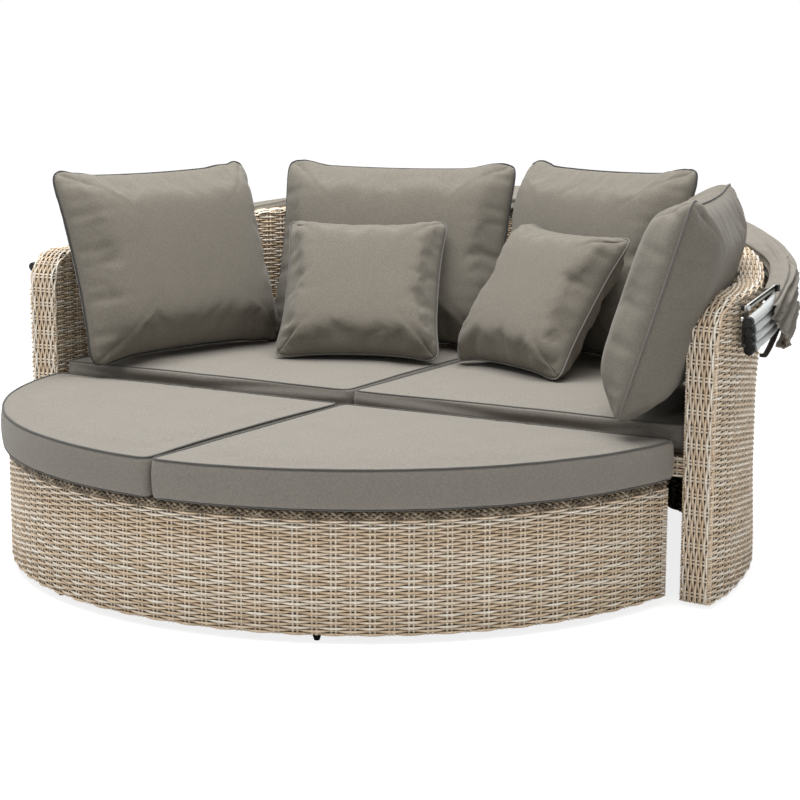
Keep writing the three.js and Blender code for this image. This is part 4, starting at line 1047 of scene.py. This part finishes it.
def metal_material(name, colour, rough, metal=1.0):
    """Drawn or plated metal: one colour, with fine lines and a little unevenness in its shine."""
    material, write, principled = shader(name)
    place = write("TexCoord").outputs["Object"]
    lines = write("TexNoise", Vector=place, Scale=420.0, Detail=3.0).outputs["Fac"]
    level = write("MapRange", Value=lines, To_Min=rough - 0.06, To_Max=rough + 0.08)
    tone = spread(write, lines, [0.92 * c for c in colour], colour)
    write(principled, Base_Color=tone, Roughness=level.outputs[0], Metallic=metal)
    return material


# The tubes' grey is darkened a little: partly their own dull grey, partly painted shade for the
# lower bows in the shadow of the tube above and the cloth.
bow_metal = metal_material("bow_metal", (0.60, 0.62, 0.61), 0.46, 0.5)
bright_steel = metal_material("bright_steel", (0.70, 0.71, 0.72), 0.24)
for k in range(4):
    arc = stack_point(np.linspace(0, math.pi, 121), 0.0, -BOW_PITCH * k)
    pin = pin_point(k, 1)
    lead = pin + (arc[0] - pin) * np.linspace(0.13, 0.95, 4)[:, None]
    line = np.vstack([lead, arc, lead[::-1] * [-1, 1, 1]])
    side = np.cross(unit(np.gradient(line, axis=0)), PLANE_UP)
    bow = Shape()
    bow.closed_tube(rings_round(line, side, PLANE_UP, TUBE_R, TUBE_R, 20))
    bow.piece(f"bow_tube_{k + 1}", bow_metal, f"bow_{k + 1}", "tube", f"canopy_bow_{k + 1}")


# The canopy's cloth, gathered on the folded bows: one sheet that laps over the wall's rim, goes
# over the front bow and falls outside all four in long soft folds to a loose hem. It is sewn to
# the bows up to their bare ends, where its own end rolls in on itself.
canopy_cloth = cloth_material("canopy_cloth", (0.235, 0.215, 0.185), 0.18, 0.6)
CLOTH_THICK, CLOTH_CLEAR = 0.0016, 0.0030
CLOTH_ROUND, CLOTH_ACROSS, ROLL_ROWS = 396, 230, 22
# The section's rows from the inner hem to the outer one: millimetres out from the bows' line and
# above the front bow's plane, and the angle in degrees at which the row's cloth starts
CLOTH_ROWS = np.array([
    (-20, -17, 12.4), (-26, -10, 12.0), (-28, 0, 11.8), (-24, 9, 11.6), (-14, 14, 11.6),
    (-3, 15, 11.2), (11, 13, 7.6), (20, 4, 5.8), (24, -9, 5.2), (26, -28, 5.0), (28, -54, 5.6),
    (30, -84, 7.2), (28, -108, 9.0), (24, -130, 10.8), (15, -146, 11.8), (3, -154, 12.4),
    (-7, -150, 12.6),
])
# Where the lap is long its rows lie on the rim: radius in metres, metres above the rim
LAP_ROWS = [(0.988, 0.002), (0.974, -0.004), (0.965, 0.012), (0.974, 0.034), (1.014, 0.031)]
# The folds' valleys: the row that each follows at these angles, its depth and its width in metres
FOLD_ANGLES = np.radians([6, 12, 20, 28, 40, 60, 90, 120, 150, 174])
FOLD_ROWS = [
    ([1.0, 1.0, 1.1, 1.1, 1.3, 1.5, 1.5, 1.4, 1.1, 1.0], 0.012, 0.0045),
    ([2.6, 2.6, 2.7, 2.7, 2.9, 3.1, 3.2, 3.1, 2.8, 2.6], 0.012, 0.0045),
    ([5.2, 5.0, 4.7, 4.3, 4.5, 5.0, 4.9, 5.1, 4.8, 5.0], 0.020, 0.0050),
    ([7.2, 6.4, 6.7, 7.6, 6.7, 7.3, 6.9, 7.4, 7.0, 7.1], 0.023, 0.0040),
    ([9.1, 8.1, 8.2, 9.3, 8.5, 9.3, 8.8, 9.5, 8.9, 8.8], 0.024, 0.0042),
    ([10.8, 9.9, 9.8, 10.8, 10.6, 10.7, 11.1, 10.9, 11.0, 10.6], 0.025, 0.0046),
    ([12.4, 11.6, 11.4, 12.5, 12.6, 12.5, 13.0, 12.6, 12.8, 12.2], 0.024, 0.0050),
    ([14.0, 13.5, 13.2, 14.2, 14.4, 14.1, 14.6, 14.2, 14.4, 13.8], 0.018, 0.0050),
]


def cloth_section(share):
    """The cloth's rows at each share of the way round: every row runs from its own start angle
    to the same angle at the other arm. Where the lap is long, the inner rows lie on the rim."""
    begin = np.radians(CLOTH_ROWS[:, 2])
    angle = begin + (math.pi - 2 * begin) * share[:, None]
    degrees = np.degrees(angle)
    grown = lambda a, b: np.clip((degrees - a) / (b - a), 0, 1)
    lap = grown(23, 50) * (1 - 0.62 * grown(103, 118)) * (1 - grown(145, 162))
    lap = eased(lap)[..., None]
    swell = 1 + 0.10 * np.sin(3.1 * angle + 0.6) + 0.06 * np.sin(7.3 * angle)
    fall = 1 + 0.05 * np.sin(4.7 * angle + 1.0) + 0.04 * np.sin(11 * angle)
    near_end = np.minimum(grown(9, 26), 1 - grown(154, 171))
    out, above = (np.broadcast_to(CLOTH_ROWS[:, i] / 1000, angle.shape) for i in (0, 1))
    wide = np.where(out > 0.019, out * swell * (0.86 + 0.22 * near_end), out)
    hem = np.clip((-above - 0.06) / 0.09, 0, 1)
    deep = above * (1 + hem * (fall * (0.84 + 0.32 * near_end) - 1))
    rows = stack_point(angle, wide, deep)
    for row, (radius, lift) in enumerate(LAP_ROWS):
        on_bow = rows[:, row]
        turn = np.arctan2(on_bow[:, 1] - MIDDLE_Y, on_bow[:, 0])
        most = stack_point(angle[:, row], 0.0, TUBE_R + 0.009)[:, 2]
        on_rim = round_point(radius, turn, np.minimum(rim_height(angle[:, row]) + lift, most))
        rows[:, row] = on_bow * (1 - lap[:, row]) + on_rim * lap[:, row]
    return rows, angle


def cloth_surface(share, samples):
    """The cloth as a grid, share of the way round by share of the section: the smoothed section,
    swollen along its normal by a height that drops in each fold's valley as e to the minus
    distance over width, steeper on the valley's upper side, but never into a bow's tube."""
    control, control_angle = cloth_section(share)
    rows = control.shape[1]
    at = np.linspace(0, rows - 1, samples)
    low = np.clip(at.astype(int), 0, rows - 2)
    part = (at - low)[None, :, None]
    base = control[:, low] * (1 - part) + control[:, low + 1] * part
    turn = control_angle[:, low] * (1 - part[..., 0]) + control_angle[:, low + 1] * part[..., 0]
    for _ in range(3):
        before = 2 * base[:, :1] - base[:, 4:0:-1]
        beyond = 2 * base[:, -1:] - base[:, -2:-6:-1]
        longer = np.concatenate([before, base, beyond], 1)
        base = sum(longer[:, i:i + samples] for i in range(9)) / 9
    outward = unit(np.cross(np.gradient(base, axis=0), np.gradient(base, axis=1)))
    step = np.linalg.norm(np.diff(base, axis=1), axis=2)
    run = np.concatenate([np.zeros((len(share), 1)), np.cumsum(step, axis=1)], 1)
    height, drop = np.zeros(turn.shape), np.zeros(turn.shape)
    middle = turn[:, samples // 2]
    index = np.arange(len(share))
    for number, (places, depth, width) in enumerate(FOLD_ROWS):
        route = np.interp(middle, FOLD_ANGLES, places) + 0.24 * np.sin(5.1 * middle + 2.1 * number)
        route = route + 0.12 * np.sin(12.7 * middle + 3.3 * number)
        column = np.clip(route / (rows - 1) * (samples - 1), 0, samples - 1.001)
        left = column.astype(int)
        at_run = run[index, left] + (run[index, left + 1] - run[index, left]) * (column - left)
        gap = run - at_run[:, None]
        deep = depth * (0.75 + 0.35 * np.sin(3.3 * middle + 1.9 * number))[:, None]
        reach = np.where(gap < 0, 0.6 * width, 1.7 * width)
        drop = np.maximum(drop, deep * np.exp(-np.abs(gap) / reach))
        swell = 0.15 if number < 3 else 0.46
        height = np.maximum(height, swell * deep * np.exp(-(gap / 0.022) ** 2))
    fine = 0.0011 * np.sin(37 * turn + 75 * run) * np.sin(21 * turn - 40 * run)
    fine = fine + 0.0007 * np.sin(90 * turn + 31 * run)
    room = np.full(turn.shape, 1.0)
    place = base - TOP_PIVOT
    for bow in range(4):
        back = (place @ PLANE_BACK - BOW_SETBACK * bow - BOW_RUN) * math.cos(TILT)
        out = np.hypot(base[..., 0], back) - TOP_PIVOT[0] + BOW_INSET * bow
        from_line = np.hypot(out, place @ PLANE_UP + BOW_PITCH * bow)
        room = np.minimum(room, from_line - TUBE_R - CLOTH_THICK - CLOTH_CLEAR)
    return base + outward * np.maximum(height - drop + fine, -room)[..., None]


def end_roll(grid, turns, radius):
    """Rows before the grid's first row: the cloth carries on past its edge and rolls inwards, on
    an arc whose radius is given for each column."""
    onward = unit(grid[0] - grid[3])
    inward = -unit(np.cross(grid[3] - grid[0], np.gradient(grid[0], axis=0)))
    angle = turns[:, None, None]
    tightness = radius[None, :, None] * (1 - 0.35 * angle / turns[0])
    return grid[0] + tightness * (np.sin(angle) * onward + (1 - np.cos(angle)) * inward)


def thick_sheet(points, below):
    """A grid of points and the grid below it made a closed sheet: both faces and a rim round
    the edge."""
    rows, columns = points.shape[:2]
    number = np.arange(rows * columns).reshape(rows, columns)
    front, rim = quads_of(number), border_of(number)
    after = np.roll(rim, -1)
    edge = np.stack([rim, rim + number.size, after + number.size, after], -1)
    shape = Shape()
    shape.add(
        np.concatenate([points.reshape(-1, 3), below.reshape(-1, 3)]),
        np.concatenate([front, front[:, ::-1] + number.size, edge]),
    )
    return shape


# Steps are shorter near the arms, where the cloth's end shows
way_round = np.linspace(-1, 1, CLOTH_ROUND)
way_round = 0.5 + 0.5 * (0.35 * np.sin(way_round * math.pi / 2) + 0.65 * way_round)
cloth_grid = cloth_surface(way_round, CLOTH_ACROSS)
row_at = np.linspace(0, len(CLOTH_ROWS) - 1, CLOTH_ACROSS)
roll_radius = 0.0012 + 0.0045 * np.clip((row_at - 7.5) / 3, 0, 1)
roll_radius = roll_radius + 0.0030 * np.clip((row_at - 11) / 2, 0, 1)
roll_turns = np.radians(np.linspace(250, 12, ROLL_ROWS))
near_roll = end_roll(cloth_grid, roll_turns, roll_radius)
far_roll = end_roll(cloth_grid[::-1], roll_turns, roll_radius)[::-1]
cloth_all = np.concatenate([near_roll, cloth_grid, far_roll])

# The columns where the sheet is cut lie in the bows' own planes, on both faces of the cloth, and
# the columns between them at even levels
cut_levels = [-BOW_PITCH * k for k in range(4)]
outside_from = int(0.45 * CLOTH_ACROSS)
outside_level = ((cloth_grid - TOP_PIVOT) @ PLANE_UP)[:, outside_from:]
cuts = [
    int(np.median((outside_level < level).argmax(1))) + outside_from for level in cut_levels
]
column_at = np.arange(CLOTH_ACROSS)
error = (cloth_all - TOP_PIVOT) @ PLANE_UP - np.interp(column_at, cuts, cut_levels)
for cut, beyond in ((cuts[0], column_at < cuts[0]), (cuts[3], column_at > cuts[3])):
    fade = np.exp(-(((column_at[beyond] - cut) / 6.0) ** 2))
    error[:, beyond] = error[:, [cut]] * fade
cloth_all = cloth_all - error[..., None] * PLANE_UP
cloth_facing = unit(np.cross(np.gradient(cloth_all, axis=0), np.gradient(cloth_all, axis=1)))
at_cuts = cloth_facing[:, cuts]
cloth_facing[:, cuts] = unit(at_cuts - (at_cuts @ PLANE_UP)[..., None] * PLANE_UP)
cloth_below = cloth_all - cloth_facing * CLOTH_THICK

# Each piece's name, its upper bow, which it rides where it reaches no lower bow, the next bow
# where it reaches to it, and its node
cloth_pieces = [
    ("canopy_cloth_top", 1, None, "canopy_fold_1"), ("canopy_cloth_1", 1, 2, "canopy_fold_2"),
    ("canopy_cloth_2", 2, 3, "canopy_fold_3"), ("canopy_cloth_3", 3, 4, None),
    ("canopy_cloth_skirt", 4, None, "canopy_fold_4"),
]
for piece, first, last in zip(cloth_pieces, [0, *cuts], [*cuts, CLOTH_ACROSS - 1]):
    name, upper, lower, replaced = piece
    patch = cloth_all[:, first:last + 1]
    shape = thick_sheet(patch, cloth_below[:, first:last + 1])
    made = shape.piece(name, canopy_cloth, None, "canopy_fabric")
    length = float(np.linalg.norm(np.diff(patch, axis=0), axis=2).sum(0).mean())
    if lower:
        start = TOP_PIVOT - PLANE_UP * BOW_PITCH * (upper - 1)
        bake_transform(made)
    else:
        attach(made, f"bow_{upper}")
    if replaced:
        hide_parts(replaced)


# The bows' ends: a black moulded plug closes each tube over its pin, and a flat lug links it to
# the pin of the bow below. The plugs stack in a column on the outside of each arm.
def solid(shape, origin, u, v, outline, profile):
    """Adds a closed body: an outline in the plane of u and v, and rows that give a distance along
    u cross v and how far the outline is drawn in there."""
    outward, w = unit(outline), np.cross(u, v)
    shape.closed_tube(np.stack([
        origin + w * along + (outline - outward * inset) @ np.stack([u, v])
        for along, inset in profile
    ]))


def circle_line(radius, sides=32, lobes=0, depth=0.0):
    """A circle, or one with lobes: radius (1 + depth cos(lobes t))."""
    turn = 2 * math.pi * np.arange(sides) / sides
    reach = radius * (1 + depth * np.cos(lobes * turn))
    return np.stack([reach * np.cos(turn), reach * np.sin(turn)], -1)


def slot_line(radius, low, high, sides=12):
    """A bar with round ends: half circles round two points on the second axis."""
    turn = np.linspace(0, math.pi, sides)
    top = np.stack([radius * np.cos(turn), high + radius * np.sin(turn)], -1)
    return np.vstack([top, np.stack([-radius * np.cos(turn), low - radius * np.sin(turn)], -1)])


def box_line(half_u, half_v, corner, steps=4):
    """A rectangle with rounded corners."""
    turn = np.linspace(0, math.pi / 2, steps)
    arc = corner * np.stack([np.cos(turn), np.sin(turn)], -1) + [half_u - corner, half_v - corner]
    second = arc[::-1] * [-1, 1]
    return np.vstack([arc, second, -arc, -second])


def plate_profile(thick, bevel):
    """The profile of a flat plate with bevelled edges."""
    return [(0.0, bevel[1]), (bevel[0], 0.0), (thick - bevel[0], 0.0), (thick, bevel[1])]


PLUG_R, LUG_HALF, LUG_THICK, LUG_FROM = 0.0132, 0.0060, 0.002, 0.0136
PLUG_PROFILE = [
    (-0.0020, 0.0012), (-0.0014, 0.0005), (0.0028, 0.0), (0.0031, 0.0010), (0.0042, 0.0010),
    (0.0045, 0.0), (0.0100, 0.0001), (0.0112, 0.0008), (0.0119, 0.0022), (0.0121, 0.0050),
    (0.0121, 0.0090),
]
ACROSS = np.array([1.0, 0.0, 0.0])
for side, sign in SIDES:
    for k in range(4):
        pin = pin_point(k, sign)
        plug = Shape()
        solid(plug, pin, ACROSS, PLANE_UP, circle_line(PLUG_R), PLUG_PROFILE)
        if k < 3:
            below = pin_point(k + 1, sign)
            reach = (pin - below) * [0, 1, 1]
            length = float(np.linalg.norm(reach))
            up = reach / length
            start = below + ACROSS * sign * (LUG_FROM if sign > 0 else LUG_FROM + LUG_THICK)
            lug_line = slot_line(LUG_HALF, 0.0, length)
            lug_profile = plate_profile(LUG_THICK, (0.0006, 0.0006))
            solid(plug, start, np.cross(up, ACROSS), up, lug_line, lug_profile)
        plug.piece(
            f"bow_plug_{side}_{k + 1}", black_plastic, f"bow_{k + 1}", "fitting",
            f"bow_end_{side}_{k + 1}",
        )


# The stay on each arm: a flat aluminium bar between black edge strips. Its rear eye turns on a
# lug of the front bow; its free front eye holds a knob and a hexagon nut, for the raised canopy.
STAY_X, STAY_FROM, STAY_LONG, STAY_RISE = 1.077, 0.0336, 0.183, 0.021
STAY_HALF = 0.0043           # from the stay's middle to the faces under its knob and nut
light_metal = metal_material("light_metal", (0.56, 0.56, 0.53), 0.42, 0.35)
for side, sign in SIDES:
    body, out = f"stay_{side}", ACROSS * sign
    rise = STAY_FROM * math.tan(TILT) + STAY_RISE / math.cos(TILT)
    eye = np.array([sign * STAY_X, TOP_PIVOT[1] + STAY_FROM, TOP_PIVOT[2] + rise])
    rear = eye + np.array([0, STAY_LONG, STAY_LONG * math.tan(TILT)])
    long = float(np.linalg.norm(rear - eye))
    ends = [(0.0065, 0.0006), (0.0071, 0.0), (long - 0.0071, 0.0), (long - 0.0065, 0.0006)]
    bar = Shape()
    solid(bar, eye, PLANE_UP, ACROSS, box_line(0.0060, 0.0029, 0.0008), ends)
    for hole in (eye, rear):
        turn = 2 * math.pi * np.arange(25) / 24
        facing = np.stack([np.zeros(25), np.cos(turn), np.sin(turn)], -1)
        bar.strand(hole + 0.0052 * facing, facing, 0.0030, 0.0017, sides=8)
    bar.piece(f"stay_bar_{side}", light_metal, body, "tube", f"stay_{side}")
    edges = Shape()
    for shift in (-0.0037, 0.0037):
        start = eye + ACROSS * shift + PLANE_UP * 0.0036
        solid(edges, start, PLANE_UP, ACROSS, box_line(0.0030, 0.0006, 0.0004), ends)
    edges.piece(f"stay_edges_{side}", black_plastic, body, "fitting")
    knob = Shape()
    inner, second_way = eye - out * STAY_HALF, np.cross(-out, PLANE_BACK)
    solid(knob, inner, PLANE_BACK, second_way, circle_line(0.0066, 48, 8, 0.07), [
        (0.0, 0.0012), (0.0008, 0.0), (0.0060, 0.0), (0.0074, 0.0009), (0.0080, 0.0028),
    ])
    knob.piece(f"stay_knob_{side}", black_plastic, body, "fitting", f"stay_screw_{side}")
    nut = Shape()
    outer, second_way = eye + out * STAY_HALF, np.cross(out, PLANE_BACK)
    nut_profile = plate_profile(0.0048, (0.0006, 0.0009))
    solid(nut, outer, PLANE_BACK, second_way, circle_line(0.0070, 6), nut_profile)
    solid(nut, outer, PLANE_BACK, second_way, circle_line(0.0030, 16), [
        (-0.0080, 0.0), (0.0056, 0.0), (0.0062, 0.0008),
    ])
    nut.piece(f"stay_nut_{side}", bright_steel, body, "screw", smooth=False)
    # The bracket's plate and stud on the arm, and the bolt through it
    dome = Shape()
    dome_at = np.array([sign * 1.0700, -0.1290, 0.7010])
    solid(dome, dome_at, ACROSS, PLANE_UP, circle_line(0.0058, 24), [
        (-0.0030, 0.0), (0.0010, 0.0), (0.0026, 0.0008), (0.0036, 0.0022), (0.0041, 0.0042),
    ])
    dome.piece(f"bracket_bolt_{side}", bright_steel, "sofa", "screw")
    bracket = Shape()
    back = np.array([0.0, sign * 1.0, 0.0])
    plate_at = np.array([sign * 1.0604, -0.0860, 0.6705])
    plate = plate_profile(0.0040, (0.0005, 0.0005))
    solid(bracket, plate_at, back, UP, box_line(0.0165, 0.0425, 0.004), plate)
    stud_at = pin_point(3, sign) + [sign * -0.0180, 0.0040, 0]
    solid(bracket, stud_at, back, UP, circle_line(0.0036, 16), [(0.0, 0.0), (0.0030, 0.0)])
    bracket.piece(
        f"arm_bracket_{side}", brown_steel, "sofa", "fitting", f"canopy_bracket_{side}",
    )
paint(black_plastic, "stay_lug_right", "stay_lug_left")


# The tie straps: a band of dark webbing hangs from the lowest bow at each arm and ends in a sewn
# loop. It ties the folded canopy down. Its route: degrees round the bow, metres below it.
STRAP_ROUTE = [
    (14.6, 0.0), (12.4, 0.0019), (9.3, 0.0144), (6.2, 0.0276), (4.0, 0.036), (3.1, 0.0312),
    (3.5, 0.0228),
]
STRAP_WIDE, STRAP_THICK, STRAP_STEPS = 0.016, 0.0022, 60
webbing = cloth_material("webbing", (0.045, 0.036, 0.030), 0.12, 2.2)
for side, sign in SIDES:
    knots = np.array([
        stack_point(math.radians(turn), 0.0, -BOW_PITCH * 3 - 0.0135 - sag)
        for turn, sag in STRAP_ROUTE
    ]) * [sign, 1, 1]
    at, knot = np.linspace(0, len(knots) - 1, STRAP_STEPS), np.arange(len(knots))
    line = np.stack([np.interp(at, knot, knots[:, i]) for i in range(3)], -1)
    for _ in range(30):
        line[1:-1] = (line[:-2] + 2 * line[1:-1] + line[2:]) / 4
    for _ in range(3):
        held = np.vstack([2 * line[:1] - line[3:0:-1], line, 2 * line[-1:] - line[-2:-5:-1]])
        line = sum(held[i:i + STRAP_STEPS] for i in range(7)) / 7
    along = unit(np.gradient(line, axis=0))
    thin = unit(np.cross(along, ACROSS * sign))
    strap = Shape()
    strap.closed_tube(rings_round(
        line, thin, np.cross(along, thin), STRAP_THICK / 2, STRAP_WIDE / 2, 12,
    ))
    made = strap.piece(f"strap_{side}", webbing, "bow_4", "webbing", f"tie_strap_{side}")
